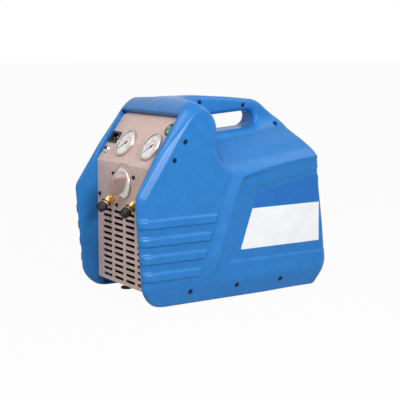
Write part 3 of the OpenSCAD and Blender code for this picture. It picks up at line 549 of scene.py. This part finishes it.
def shell_field(x, y, z, flat):
    """Distance field of one hollow half with its openings."""
    outer = outside_field(x, y, z, flat)
    x = np.abs(x)
    shell = np.maximum(outer, -(outer + WALL))
    s, out = slope_place(y, z)
    through = np.maximum(x - OPENING_HALF, s - SLOPE_LEN)
    through = np.maximum(through, np.minimum(y + 118, -34 - out))
    below = np.maximum(np.maximum(x - OPENING_HALF, y + 60), z - 8)
    rear_s = (z - REAR_FOOT[1]) * math.cos(REAR_LEAN) - (y - REAR_FOOT[0]) * math.sin(REAR_LEAN)
    rear = np.maximum(np.abs(rear_s - REAR_MID) - REAR_OPEN[1], 176 - y)
    rear = np.maximum(rear, x - REAR_OPEN[0])
    bottom = np.maximum(np.maximum(x - 60, np.abs(y - 5) - 145), z)
    for cut in (through, below, rear, bottom):
        shell = both(shell, -cut, 1.2)
    return shell


def flat_distances(y, z):
    """Distances in the side view to the outline, the frame, the label pocket and the hand hole."""
    c, s = math.cos(HOLE_LEAN), math.sin(HOLE_LEAN)
    hy = (y - HOLE_MID[0]) * c + (z - HOLE_MID[1]) * s
    hz = -(y - HOLE_MID[0]) * s + (z - HOLE_MID[1]) * c
    hole = np.hypot(np.maximum(np.abs(hy) - HOLE_HALF[0] + HOLE_R, 0),
                    np.maximum(np.abs(hz) - HOLE_HALF[1] + HOLE_R, 0)) - HOLE_R
    return (outline_distance(y, z, SIDE), outline_distance(y, z, FRAME_EDGE),
            outline_distance(y, z, POCKET_EDGE), hole)


def surface_mesh(values, low):
    """Vertices and quads where a field on a grid crosses zero, one vertex for each crossed cell."""
    inside = values < 0
    corners = [(i, j, k) for i in (0, 1) for j in (0, 1) for k in (0, 1)]
    nx, ny, nz = (n - 1 for n in values.shape)

    def corner(a, c):
        return a[c[0]:c[0] + nx, c[1]:c[1] + ny, c[2]:c[2] + nz]

    count = sum(corner(inside, c).astype(np.int8) for c in corners)
    cells = np.argwhere((count > 0) & (count < 8))
    total = np.zeros((len(cells), 3))
    hits = np.zeros(len(cells))
    for c in corners:
        for axis in range(3):
            if c[axis]:
                continue
            d = list(c)
            d[axis] = 1
            a = values[tuple((cells + c).T)]
            b = values[tuple((cells + d).T)]
            crossed = (a < 0) != (b < 0)
            t = np.where(crossed, a / np.where(crossed, a - b, 1), 0)
            point = cells + np.array(c, float)
            point[:, axis] += t
            total += point * crossed[:, None]
            hits += crossed
    verts = low + CELL * total / hits[:, None]
    index = np.full((nx, ny, nz), -1, np.int64)
    index[tuple(cells.T)] = np.arange(len(cells))
    quads = []
    for axis in range(3):
        u, v = [a for a in range(3) if a != axis]
        first = [slice(1, n) for n in (nx, ny, nz)]
        first[axis] = slice(0, (nx, ny, nz)[axis])
        second = list(first)
        second[axis] = slice(1, (nx, ny, nz)[axis] + 1)
        a = inside[tuple(first)]
        b = inside[tuple(second)]
        edges = np.argwhere(a != b)
        base = edges + [s.start for s in first]
        step_u = np.eye(3, dtype=int)[u]
        step_v = np.eye(3, dtype=int)[v]
        ring = np.stack([index[tuple((base - step_u - step_v).T)], index[tuple((base - step_v).T)],
                         index[tuple(base.T)], index[tuple((base - step_u).T)]], axis=1)
        quads.append(ring)
    quads = np.concatenate(quads)
    return verts, quads[(quads >= 0).all(axis=1)]


def settle(verts, rounds=3):
    """Moves each vertex along the field's slope on to the surface."""
    def field(p):
        return shell_field(p[:, 0], p[:, 1], p[:, 2], flat_distances(p[:, 1], p[:, 2]))

    for _ in range(rounds):
        here = field(verts)
        slope = np.empty_like(verts)
        for axis in range(3):
            step = np.zeros(3)
            step[axis] = 0.05
            slope[:, axis] = (field(verts + step) - field(verts - step)) / 0.1
        steep = np.maximum((slope ** 2).sum(axis=1), 0.2)
        move = slope * (here / steep)[:, None]
        size = np.linalg.norm(move, axis=1)
        verts = verts - move * np.minimum(1, 0.8 * CELL / np.maximum(size, 1e-9))[:, None]
    return verts


def half_shell_mesh():
    """The right half as a mesh, cut flat along the middle seam."""
    low = np.array([-3.0 * CELL, -214.0, -13.0])
    shape = (69, 220, 189)
    ax = [low[i] + CELL * np.arange(shape[i]) for i in range(3)]
    y2, z2 = np.meshgrid(ax[1], ax[2], indexing="ij")
    flat = [d[None] for d in flat_distances(y2, z2)]
    x3, y3, z3 = np.meshgrid(*ax, indexing="ij")
    values = shell_field(x3, y3, z3, flat)
    verts, quads = surface_mesh(values, low)
    verts = settle(verts)
    mesh = bpy.data.meshes.new("right_half")
    mesh.from_pydata(verts.tolist(), [], quads.tolist())
    work = bmesh.new()
    work.from_mesh(mesh)
    everything = list(work.verts) + list(work.edges) + list(work.faces)
    bmesh.ops.bisect_plane(work, geom=everything, dist=0.02, plane_co=(SEAM_X, 0, 0),
                           plane_no=(-1, 0, 0), clear_outer=True)
    rim = [e for e in work.edges if e.is_boundary]
    bmesh.ops.triangle_fill(work, use_beauty=True, edges=rim, normal=(-1, 0, 0))
    bmesh.ops.recalc_face_normals(work, faces=work.faces)
    work.to_mesh(mesh)
    work.free()
    return mesh


def make_shells():
    right = half_shell_mesh()
    left = right.copy()
    left.transform(Matrix.Scale(-1, 4, (1, 0, 0)))
    add_mesh("shell_half_right", right, "shell", nodes=("right_shell",), smooth=60)
    add_mesh("shell_half_left", left, "shell", nodes=("left_shell",), smooth=60)


make_shells()


# Carried-over nodes
def dress(node, mat, width=0.0):
    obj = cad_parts[node]
    obj.data.materials.clear()
    obj.data.materials.append(MATS[mat])
    if width:
        weld = obj.modifiers.new("join", "WELD")
        weld.merge_threshold = 0.00001
        bevel(obj, width)


CARRIED = {
    "rear_panel": ("panel", 0.3), "base_plate": ("steel", 0.3), "rubber_feet": ("rubber", 0.8),
    "handle_screws": ("screw", 0.25), "rim_screws": ("screw", 0.25), "base_screws": ("screw", 0.25),
    "panel_screws": ("screw", 0.25), "rear_screws": ("screw", 0.25), "valve_stem": ("steel", 0.4),
    "valve_body": ("alloy", 0.8), "power_inlet": ("black", 0.6), "inlet_pins": ("steel", 0.3),
    "inlet_cap_seal": ("seal", 0.2), "outlet_cap_seal": ("seal", 0.2),
    "condenser_tubes": ("copper", 0.0), "condenser_ends": ("steel", 0.2), "fan_frame": ("black", 0.6),
    "fan_rotor": ("black", 0.3), "crankcase": ("iron", 1.2), "cylinder_head": ("alloy", 0.8),
    "crankshaft": ("steel", 0.4), "connecting_rod": ("alloy", 0.5), "piston": ("alloy", 0.4),
    "bearings": ("steel", 0.4), "motor_can": ("iron", 0.6), "motor_rotor": ("steel", 0.4),
    "end_bell": ("iron", 0.8), "isolators": ("rubber", 0.6), "capacitor": ("black", 0.6),
    "capacitor_clip": ("steel", 0.2), "suction_pipe": ("copper", 0.0),
    "discharge_pipe": ("copper", 0.0), "liquid_pipe": ("copper", 0.0), "gauge_pipes": ("copper", 0.0),
    "inlet_filter": ("brass", 0.5), "pressure_switch": ("black", 0.5),
}
for node_name, (mat_name, edge) in CARRIED.items():
    dress(node_name, mat_name, edge)


# Front panel
def flat_layout():
    """The bend's setback, then lengths along the unrolled panel: lower flat, bend and top."""
    setback = BEND_R * math.tan(TILT / 2)
    low_end = BEND_Z - setback - PANEL_BOTTOM
    bend_end = low_end + BEND_R * TILT
    return setback, low_end, bend_end, bend_end + SLOPE_LEN - setback


def unrolled(s):
    """Length along the unrolled panel of a point s up the slope."""
    setback, _, bend_end, _ = flat_layout()
    return bend_end + s - setback


def rolled(v, depth):
    """Place (y, z) of a point at length v along the panel and at a depth behind its face."""
    _, low_end, bend_end, _ = flat_layout()
    if v <= low_end:
        return PANEL_Y + depth, PANEL_BOTTOM + v
    turn = min((v - low_end) / BEND_R, TILT)
    centre_y = PANEL_Y + BEND_R
    centre_z = PANEL_BOTTOM + low_end
    along = max(v - bend_end, 0.0)
    y = centre_y - (BEND_R - depth) * math.cos(turn) + along * math.sin(turn)
    z = centre_z + (BEND_R - depth) * math.sin(turn) + along * math.cos(turn)
    return y, z


def panel_holes():
    """Outlines of the panel's holes on the unrolled sheet."""
    holes = [disc_outline(x, unrolled(GAUGE_S), GAUGE_R - 4.2) for x in GAUGES.values()]
    holes.append(disc_outline(SWITCH_AT[0], unrolled(SWITCH_AT[1]), 10.1, 28))
    holes.append(disc_outline(BREAKER_AT[0], unrolled(BREAKER_AT[1]), 6.1, 24))
    holes.append(box_outline(SOCKET_AT[0], unrolled(SOCKET_AT[1]), 27.2, 20.2, 1.0, 2))
    holes.append(disc_outline(KNOB_AT[0], KNOB_AT[1] - PANEL_BOTTOM, 5.2, 20))
    for side in (-1, 1):
        holes.append(disc_outline(side * PORT_X, PORT_Z - PANEL_BOTTOM, 6.2, 24))
        for x, z in PANEL_SCREWS:
            holes.append(disc_outline(side * x, z - PANEL_BOTTOM, 2.1, 14))
    for row in range(SLOT_ROWS):
        for column in (-1.5, -0.5, 0.5, 1.5):
            holes.append(box_outline(column * SLOT_PITCH[0],
                                     SLOT_TOP - SLOT_PITCH[1] * row - PANEL_BOTTOM,
                                     SLOT_W, SLOT_H, 1.6, 4))
    return holes


def sheet_parts():
    """The bent front sheet with its holes, as vertices and faces."""
    _, low_end, bend_end, top = flat_layout()
    outline = rounded([(-PANEL_HALF, 0, 2), (PANEL_HALF, 0, 2), (PANEL_HALF, top, 12),
                       (-PANEL_HALF, top, 12)], 7)
    loops = [outline] + panel_holes()
    points = []
    edges = []
    for loop in loops:
        base = len(points)
        points.extend(Vector(p) for p in loop)
        edges.extend((base + i, base + (i + 1) % len(loop)) for i in range(len(loop)))
    for k in range(5):
        v = low_end + (bend_end - low_end) * k / 4
        base = len(points)
        points.extend((Vector((-PANEL_HALF, v)), Vector((PANEL_HALF, v))))
        edges.append((base, base + 1))
    flat, _, tris, _, _, _ = geometry.delaunay_2d_cdt(points, edges, [], 1, 1e-4)
    middles = np.array([[sum(flat[i].x for i in t) / 3, sum(flat[i].y for i in t) / 3] for t in tris])
    kept = outline_distance(middles[:, 0], middles[:, 1], outline) < 0
    for hole in loops[1:]:
        kept &= outline_distance(middles[:, 0], middles[:, 1], hole) > 0
    tris = [t for t, keep in zip(tris, kept) if keep]
    count = len(flat)
    verts = []
    for depth in (0.0, PANEL_T):
        verts.extend((p.x, *rolled(p.y, depth)) for p in flat)
    faces = [list(t) for t in tris] + [[count + i for i in reversed(t)] for t in tris]
    uses = {}
    for t in tris:
        for a, b in zip(t, (t[1], t[2], t[0])):
            uses.setdefault((min(a, b), max(a, b)), []).append((a, b))
    for found in uses.values():
        if len(found) == 1:
            a, b = found[0]
            faces.append([b, a, count + a, count + b])
    return verts, faces


def make_front_panel():
    flanges = [prism_parts(box_outline(x, -157, PANEL_T, 13), *FLANGE_Z) for x in (FLANGE_X, -FLANGE_X)]
    verts, faces = join_parts(sheet_parts(), *flanges)
    used = sorted({i for face in faces for i in face})
    number = {old: new for new, old in enumerate(used)}
    verts = [verts[i] for i in used]
    faces = [[number[i] for i in face] for face in faces]
    add_piece("control_panel", verts, faces, "panel", nodes=("front_panel",), slot="panel_beige",
              smooth=30)


def make_panel_print():
    """Thin printed arcs and ticks beside the knob, and a line round each gauge."""
    parts = []
    for a0, a1 in ((-62, -22), (-14, 14), (22, 62)):
        parts.append(arc_strip(34.0, 34.9, a0, a1, INK_H, 16))
    for a in (-66, -18, 18, 66):
        parts.append(arc_strip(32.5, 38.5, a - 0.8, a + 0.8, INK_H, 1))
    verts, faces = join_parts(*parts)
    add_piece("knob_marks", verts, faces, "ink_grey", slot="panel_beige", place=on_panel(*KNOB_AT))
    parts = [moved(arc_strip(GAUGE_R + 1.6, GAUGE_R + 2.2, -180, 180, INK_H, 48),
                   Matrix.Translation((x, 0, 0))) for x in GAUGES.values()]
    verts, faces = join_parts(*parts)
    add_piece("gauge_marks", verts, faces, "ink_grey", slot="panel_beige", place=on_slope(0, GAUGE_S))


# Gauges
def make_gauge(name, x, numbers, red_from):
    place = on_slope(x, GAUGE_S)
    r = GAUGE_R
    bezel = [(r - 6.0, -24.0), (0.0, -24.0), (0.0, -26.0), (r - 5.4, -26.0), (r - 4.5, -25.0),
             (r - 4.5, 0.0), (r - 0.6, 0.0), (r, 0.7), (r, 4.4), (r - 0.5, 5.7), (r - 1.4, 6.3),
             (r - 2.2, 6.2), (r - 2.7, 5.6), (r - 2.4, 5.2), (r - 1.9, 4.9), (r - 1.9, 1.5),
             (r - 6.0, 1.5), (r - 6.0, -24.0)]
    verts, faces = lathe_parts(bezel, 72)
    add_piece(name + "_gauge_bezel", verts, faces, "bezel", nodes=(name + "_gauge_case",),
              slot="gauge_steel", smooth=40, place=place)
    card = [(1.9, 1.5), (r - 2.7, 1.5), (r - 2.5, 1.7), (r - 2.5, 2.0), (r - 2.7, 2.1), (1.9, 2.1),
            (1.9, 1.5)]
    verts, faces = lathe_parts(card, 64)
    add_piece(name + "_gauge_card", verts, faces, "dial", nodes=(name + "_gauge_dial",),
              slot="dial_white", smooth=40, place=place)
    glass = [(0.0, 4.6), (r - 3.0, 4.2), (r - 2.0, 4.2), (r - 2.0, 4.8), (r - 3.5, 5.2),
             (r / 2, 5.7), (0.0, 5.9)]
    verts, faces = lathe_parts(glass, 64)
    add_piece(name + "_gauge_glass", verts, faces, "lens", nodes=(name + "_gauge_lens",),
              slot="lens_clear", smooth=50, place=place)
    make_gauge_print(name, numbers, red_from, place)
    make_needle(name, place)


def make_gauge_print(name, numbers, red_from, place):
    """Scale, ticks, a coloured band and plain numbers on a dial."""
    scale_r = GAUGE_R - 5.0
    ink = [arc_strip(scale_r - 0.4, scale_r, -135, 135, 2.14, 60)]
    for i in range(51):
        a = -135 + 270 * i / 50
        length = 3.2 if i % 10 == 0 else 2.2 if i % 5 == 0 else 1.4
        half = 0.7 if i % 10 == 0 else 0.4
        ink.append(arc_strip(scale_r - length, scale_r, a - half, a + half, DIAL_INK_H, 1))
    ink.append(arc_strip(10.2, 10.5, -135, 135, 2.14, 48))
    verts, faces = join_parts(*ink)
    add_piece(name + "_gauge_scale", verts, faces, "ink_grey", slot="dial_white", place=place)
    band = [arc_strip(scale_r + 0.4, scale_r + 1.4, red_from, 135, 2.14, 24),
            arc_strip(11.2, 12.4, -135, 135, 2.14, 48)]
    verts, faces = join_parts(*band)
    add_piece(name + "_gauge_band", verts, faces, "ink_red", slot="dial_white", place=place)
    for i, number in enumerate(numbers):
        a = math.radians(90 - (-135 + 270 * i / (len(numbers) - 1)))
        at = (scale_r - 6) * Vector((math.cos(a), math.sin(a), 0))
        add_number(f"{name}_gauge_number_{i}", number, 4.4,
                   place @ Matrix.Translation(at) @ Matrix.Translation((0, 0, DIAL_INK_H)))


def add_number(name, text, size, place):
    curve = bpy.data.curves.new(name, "FONT")
    curve.body = text
    curve.size = size
    curve.align_x = "CENTER"
    curve.align_y = "CENTER"
    curve.resolution_u = 3
    holder = bpy.data.objects.new(name + "_text", curve)
    bpy.context.scene.collection.objects.link(holder)
    bpy.context.view_layer.update()
    mesh = bpy.data.meshes.new_from_object(holder.evaluated_get(bpy.context.evaluated_depsgraph_get()))
    bpy.data.objects.remove(holder)
    mesh.materials.clear()
    add_mesh(name, mesh, "ink_black", place=place)


def make_needle(name, place):
    turn = Matrix.Rotation(math.radians(135), 4, "Z")
    tip = GAUGE_R - 7.5
    outline = [(-1.5, -7), (1.5, -7), (0.9, 0), (0.35, tip), (-0.35, tip), (-0.9, 0)]
    pointer = moved(prism_parts(outline, 2.6, 3.1), turn)
    hub = lathe_parts([(0, 2.4), (3.2, 2.4), (3.2, 3.1), (2.6, 3.6), (0, 3.7)], 28)
    spindle = lathe_parts([(0, -23.5), (1.4, -23.5), (1.4, 2.5), (0, 2.5)], 16)
    verts, faces = join_parts(pointer, hub, spindle)
    add_piece(name + "_pointer", verts, faces, "needle", name + "_needle",
              nodes=(name + "_gauge_needle",), slot="needle_red", smooth=35, place=place)


# Knob
def loft_parts(rings):
    """Skins a stack of outlines that have the same number of points, each with its height."""
    count = len(rings[0][0])
    verts = [(x, y, h) for outline, h in rings for x, y in outline]
    faces = [list(reversed(range(count)))]
    for k in range(len(rings) - 1):
        for i in range(count):
            j = (i + 1) % count
            faces.append([k * count + i, k * count + j, (k + 1) * count + j, (k + 1) * count + i])
    faces.append([(len(rings) - 1) * count + i for i in range(count)])
    return verts, faces


def grip_outline(width, length, waist):
    """A bar with round ends and slightly hollow sides."""
    right = [(width / 2 - waist * math.cos(math.pi * t / length), t)
             for t in np.linspace(-length / 2 + width / 2, length / 2 - width / 2, 9)]
    tip = [(width / 2 * math.cos(a), length / 2 - width / 2 + width / 2 * math.sin(a))
           for a in np.linspace(0.25, math.pi - 0.25, 8)]
    left = [(-x, -y) for x, y in right]
    foot = [(-x, -y) for x, y in tip]
    return right + tip + left + foot


def make_knob():
    place = on_panel(*KNOB_AT)
    r = KNOB_R
    skirt = [(4.2, 0.8), (r - 0.8, 0.8), (r, 1.5), (r, 3.4), (r - 0.6, 4.6), (r - 2.2, 5.6),
             (r - 4.5, 6.2), (r - 10, 7.0), (4.2, 7.4), (4.2, 0.8)]
    verts, faces = lathe_parts(skirt, 72)
    add_piece("knob_skirt", verts, faces, "knob_rim", "knob", nodes=("mode_knob",), slot="knob_grey",
              smooth=40, place=place)
    rings = [(grip_outline(19, 55, 0.8), 3.0), (grip_outline(17.5, 54, 1.2), 9.0),
             (grip_outline(15.5, 50, 1.4), 18.0), (grip_outline(14.2, 47.5, 1.4), 23.0),
             (grip_outline(13.0, 46, 1.2), 25.2), (grip_outline(10.8, 43.6, 0.9), 26.2)]
    verts, faces = loft_parts(rings)
    turned = place @ Matrix.Rotation(-KNOB_TURN, 4, "Z")
    grip = add_piece("knob_grip", verts, faces, "knob", "knob", slot="knob_grey", smooth=35,
                     place=turned)
    bevel(grip, 0.5)
    line = prism_parts(box_outline(0, 16, 1.6, 9, 0.7, 3), 26.1, 26.35)
    add_piece("knob_pointer", *line, "label", "knob", slot="knob_grey", place=turned)


# Switch and reset button
def make_switch():
    place = on_slope(*SWITCH_AT)
    housing = [(0, -22), (9.4, -22), (9.9, -21.4), (9.9, 0), (11.6, 0), (12.2, 0.6), (12.2, 1.6),
               (11.6, 2.5), (10.4, 2.9), (9.5, 2.7), (9.2, 2.0), (9.2, -9), (0, -9)]
    verts, faces = lathe_parts(housing, 56)
    add_piece("switch_housing", verts, faces, "black", nodes=("switch_body",), slot="switch_black",
              smooth=35, place=place)
    dress("switch_rocker", "green", 0.5)
    tilt = place @ Matrix.Translation((0, 0, -2)) @ Matrix.Rotation(math.radians(9), 4, "X")
    bar = prism_parts(box_outline(0, 4.6, 0.9, 3.4), 5.6, 5.95)
    add_piece("switch_on_mark", *bar, "label", "rocker", slot="rocker_green", place=tilt)
    ring = lathe_parts([(1.1, 5.6), (1.8, 5.6), (1.8, 5.95), (1.1, 5.95), (1.1, 5.6)], 24)
    add_piece("switch_off_mark", *moved(ring, Matrix.Translation((0, -4.6, 0))), "label", "rocker",
              slot="rocker_green", place=tilt)


def make_reset():
    place = on_slope(*BREAKER_AT)
    collar = [(3.1, -12), (6.0, -12), (6.0, 0), (8.2, 0), (8.6, 0.5), (8.6, 1.6), (8.0, 2.4),
              (5.6, 2.5), (5.2, 3.4), (4.4, 3.7), (3.1, 3.5), (3.1, -12)]
    verts, faces = lathe_parts(collar, 40)
    add_piece("breaker_collar", verts, faces, "bezel", nodes=("breaker_body",), slot="plated_steel",
              smooth=40, place=place)
    button = [(0, -8), (2.9, -8), (2.9, 6.2), (2.5, 6.8), (1.4, 7.1), (0, 7.2)]
    verts, faces = lathe_parts(button, 28)
    add_piece("reset_cap", verts, faces, "black", "reset", nodes=("reset_button",),
              slot="switch_black", smooth=40, place=place)


# Hose fittings
def wavy_outline(r0, r1, waves, count=96):
    out = []
    for i in range(count):
        a = 2 * math.pi * i / count
        lift = max(0.0, math.cos(a * waves)) ** 0.5
        r = r0 + (r1 - r0) * lift
        out.append((r * math.cos(a), r * math.sin(a)))
    return out


def make_port(name, x):
    nut = prism_parts(disc_outline(0, 0, 11.0, 6), 0.0, 5.2)
    stub = lathe_parts([(0, -15), (5.9, -15), (5.9, 0), (7.2, 5), (7.2, ELBOW_OUT), (0, ELBOW_OUT)], 32)
    knuckle = [(0, -8.0)] + [(8.0 * math.sin(a), -8.0 * math.cos(a))
                             for a in np.linspace(0.25, math.pi - 0.25, 12)] + [(0, 8.0)]
    to_port = Matrix.Translation((0, 0, ELBOW_OUT)) @ Matrix.Rotation(PORT_TILT, 4, "X")
    neck = [(0, 0), (7.4, 0), (7.4, 4.6), (7.1, 4.9), (7.1, 6.0), (NECK_R, 6.4),
            (NECK_R, NECK_END - 0.6), (7.0, NECK_END), (5.4, NECK_END)]
    for k in range(6):
        neck.extend([(5.45, NECK_END + 0.5 + 1.27 * k), (4.9, NECK_END + 1.1 + 1.27 * k)])
    neck.extend([(5.3, THREAD_END - 2.8), (3.2, THREAD_END), (2.4, THREAD_END), (2.4, THREAD_END - 6),
                 (0, THREAD_END - 6)])
    parts = join_parts(nut, stub, moved(lathe_parts(knuckle, 32), to_port),
                       moved(lathe_parts(neck, 40), to_port))
    body = add_piece(name + "_flare_fitting", *parts, "brass", nodes=(name + "_fitting",),
                     slot="brass", smooth=35, place=on_panel(x, PORT_Z))
    bevel(body, 0.4, 2, 50)
    make_cap(name, x)
    make_strap(name, x)


def make_cap(name, x):
    height = CAP_END - CAP_START
    r = CAP_R
    bore = r - 2.1
    rings = [(wavy_outline(bore, bore, 14), THREAD_END + 1.5 - CAP_START),
             (wavy_outline(bore, bore, 14), 0.4), (wavy_outline(bore + 0.3, bore + 0.3, 14), 0.0),
             (wavy_outline(r - 1.4, r - 1.4, 14), 0.0), (wavy_outline(r - 0.8, r - 0.6, 14), 0.7),
             (wavy_outline(r - 0.7, r, 14), 1.8), (wavy_outline(r - 0.7, r, 14), height - 4.6),
             (wavy_outline(r - 0.9, r - 0.6, 14), height - 3.2),
             (wavy_outline(r - 1.2, r - 1.2, 14), height - 1.4),
             (wavy_outline(r - 2.2, r - 2.2, 14), height - 0.3),
             (wavy_outline(r - 3.6, r - 3.6, 14), height)]
    skin = loft_parts(rings)
    button = lathe_parts([(0, height - 0.5), (2.5, height - 0.5), (2.5, height + 2.4),
                          (3.4, height + 2.4), (3.4, height + 3.2), (2.6, height + 3.8),
                          (0, height + 3.8)], 28)
    place = on_port(x) @ Matrix.Translation((0, 0, CAP_START))
    add_piece(name + "_dust_cap", *join_parts(skin, button), "black", name + "_cap",
              nodes=(name + "_cap",), slot="cap_black", smooth=38, place=place)


def make_strap(name, x):
    """A flat rubber strap from a ring on the neck to a ring on the cap's button."""
    at = STRAP_AT
    low = lathe_parts([(NECK_R + 0.1, at - 0.9), (9.7, at - 0.9), (10.0, at - 0.5), (10.0, at + 0.5),
                       (9.7, at + 0.9), (NECK_R + 0.1, at + 0.9), (NECK_R + 0.1, at - 0.9)], 36)
    top_h = CAP_END + 0.3
    high = lathe_parts([(2.9, top_h), (5.3, top_h), (5.6, top_h + 0.4), (5.6, top_h + 1.4),
                        (5.3, top_h + 1.8), (2.9, top_h + 1.8), (2.9, top_h)], 28)
    mid = (top_h + 0.9 + at) / 2
    reach = mid - at
    path = [(4.5, top_h + 0.9)]
    path += [(8.5 + reach * math.cos(a), mid + reach * math.sin(a))
             for a in np.linspace(math.pi / 2, -math.pi / 2, 22)]
    path += [(8.4, at)]
    verts = []
    faces = []
    for i, (px, pz) in enumerate(path):
        before = path[max(i - 1, 0)]
        after = path[min(i + 1, len(path) - 1)]
        along = np.array([after[0] - before[0], after[1] - before[1]])
        along /= np.linalg.norm(along)
        nx, nz = -along[1] * 0.8, along[0] * 0.8
        verts += [(px + nx, -2.5, pz + nz), (px + nx, 2.5, pz + nz), (px - nx, 2.5, pz - nz),
                  (px - nx, -2.5, pz - nz)]
        if i:
            base = 4 * (i - 1)
            faces += [[base + k, base + (k + 1) % 4, base + 4 + (k + 1) % 4, base + 4 + k]
                      for k in range(4)]
    last = len(verts) - 4
    faces += [[3, 2, 1, 0], [last, last + 1, last + 2, last + 3]]
    strap = add_piece(name + "_cap_tether", *join_parts(low, high, (verts, faces)), "rubber",
                      name + "_seal", nodes=(name + "_cap_strap",), slot="rubber_black", smooth=38,
                      place=on_port(x) @ Matrix.Rotation(math.pi, 4, "Z"))
    bevel(strap, 0.3, 2, 50)


# Labels on both sides
def side_pair(outline):
    """A thin film with this outline in the pocket on each side."""
    parts = []
    for side in (-1, 1):
        film = prism_parts(outline, LABEL_X, LABEL_X + 0.35)
        turn = Matrix(((0, 0, side, 0), (1, 0, 0, 0), (0, 1, 0, 0), (0, 0, 0, 1)))
        parts.append(moved(film, turn))
    return join_parts(*parts)


def make_labels():
    white = rounded([(39, 154, 2), (13, 80, 2), (195, 80, 2), (194, 154, 2)], 4)
    add_piece("side_films", *side_pair(white), "label", nodes=("side_labels",), slot="label_white")
    blue = rounded([(41, 156, 2), (193, 156, 2), (191, 208, 4), (46, 181, 4)], 4)
    add_piece("side_bands", *side_pair(blue), "band", slot="label_white")


# Condenser seen through the slots
def make_fins():
    parts = []
    count = 62
    for i in range(count):
        x = -80.5 + 161.0 * i / (count - 1)
        parts.append(prism_parts(box_outline(x, -136, 0.3, 28), 17, 145))
    # the fins take the near-black fin material, which is painted shade for the space behind the slots
    add_piece("fin_pack", *join_parts(*parts), "fin", nodes=("condenser_fins",), slot="plated_steel")


make_front_panel()
make_panel_print()
make_gauge("low", GAUGES["low"], ("0", "2", "4", "6", "8", "10"), 60)
make_gauge("high", GAUGES["high"], ("0", "10", "20", "30", "40", "50"), 30)
make_knob()
make_switch()
make_reset()
make_port("inlet", -PORT_X)
make_port("outlet", PORT_X)
make_labels()
make_fins()


# Stage, light and camera
FLOOR_WHITE = 0.96
FLOOR_GREY = 0.45
FLOOR_HALF = 30.0
WORLD_LIGHT = 0.25
CAMERA_AT = (1.6358, -1.0614, 0.4545)
CAMERA_AZIMUTH = math.radians(57.17)
CAMERA_ELEVATION = math.radians(8.31)
CAMERA_LENS = 93.32


def show_white(tree, shaded, white, output, share):
    """Mixes this share of plain white into what the camera, mirrors and glass see."""
    path = tree.nodes.new("ShaderNodeLightPath")
    seen = path.outputs["Is Camera Ray"]
    for ray in ("Is Glossy Ray", "Is Transmission Ray"):
        larger = tree.nodes.new("ShaderNodeMath")
        larger.operation = "MAXIMUM"
        tree.links.new(seen, larger.inputs[0])
        tree.links.new(path.outputs[ray], larger.inputs[1])
        seen = larger.outputs["Value"]
    part = tree.nodes.new("ShaderNodeMath")
    part.operation = "MULTIPLY"
    part.inputs[1].default_value = share
    tree.links.new(seen, part.inputs[0])
    pick = tree.nodes.new("ShaderNodeMixShader")
    tree.links.new(part.outputs["Value"], pick.inputs["Fac"])
    tree.links.new(shaded, pick.inputs[1])
    tree.links.new(white, pick.inputs[2])
    tree.links.new(pick.outputs["Shader"], output.inputs["Surface"])


def make_floor():
    size = FLOOR_HALF
    mesh = bpy.data.meshes.new("floor")
    mesh.from_pydata([(-size, -size, 0), (size, -size, 0), (size, size, 0), (-size, size, 0)], [],
                     [(0, 1, 2, 3)])
    floor = bpy.data.objects.new("floor", mesh)
    bpy.context.scene.collection.objects.link(floor)
    mat = bpy.data.materials.new("floor_white")
    mat.use_nodes = True
    shader = mat.node_tree.nodes["Principled BSDF"]
    shader.inputs["Base Color"].default_value = (FLOOR_GREY, FLOOR_GREY, FLOOR_GREY, 1)
    shader.inputs["Roughness"].default_value = 0.8
    glow = mat.node_tree.nodes.new("ShaderNodeEmission")
    show_white(mat.node_tree, shader.outputs["BSDF"], glow.outputs["Emission"],
               mat.node_tree.nodes["Material Output"], FLOOR_WHITE)
    mesh.materials.append(mat)


def make_world():
    world = bpy.data.worlds.new("studio")
    bpy.context.scene.world = world
    world.use_nodes = True
    tree = world.node_tree
    back = tree.nodes["Background"]
    back.inputs["Color"].default_value = (1, 1, 1, 1)
    back.inputs["Strength"].default_value = WORLD_LIGHT
    white = tree.nodes.new("ShaderNodeBackground")
    white.inputs["Color"].default_value = (1, 1, 1, 1)
    white.inputs["Strength"].default_value = 1.0
    show_white(tree, back.outputs["Background"], white.outputs["Background"],
               tree.nodes["World Output"], 1.0)


def add_area(name, place, target, size, power):
    light = bpy.data.lights.new(name, "AREA")
    light.size = size
    light.energy = power
    obj = bpy.data.objects.new(name, light)
    obj.location = place
    aim = Vector(target) - Vector(place)
    obj.rotation_euler = aim.to_track_quat("-Z", "Y").to_euler()
    bpy.context.scene.collection.objects.link(obj)


def make_camera():
    data = bpy.data.cameras.new("camera")
    data.lens = CAMERA_LENS
    data.sensor_width = 36
    cam = bpy.data.objects.new("camera", data)
    azimuth, elevation = CAMERA_AZIMUTH, CAMERA_ELEVATION
    aim = Vector((-math.cos(elevation) * math.sin(azimuth), math.cos(elevation) * math.cos(azimuth),
                  -math.sin(elevation)))
    cam.location = CAMERA_AT
    cam.rotation_euler = aim.to_track_quat("-Z", "Y").to_euler()
    bpy.context.scene.collection.objects.link(cam)
    bpy.context.scene.camera = cam


make_floor()
make_world()
add_area("key", (1.3, -0.28, 0.78), (0.1, -0.08, 0.2), 0.36, 12.5)
add_area("top_rear", (0.6, 1.2, 1.8), (0, 0, 0.2), 0.8, 6)
add_area("top_front", (0.4, -1.1, 1.75), (0, 0, 0.2), 0.8, 13)
make_camera()
bpy.context.scene.view_settings.view_transform = "Standard"
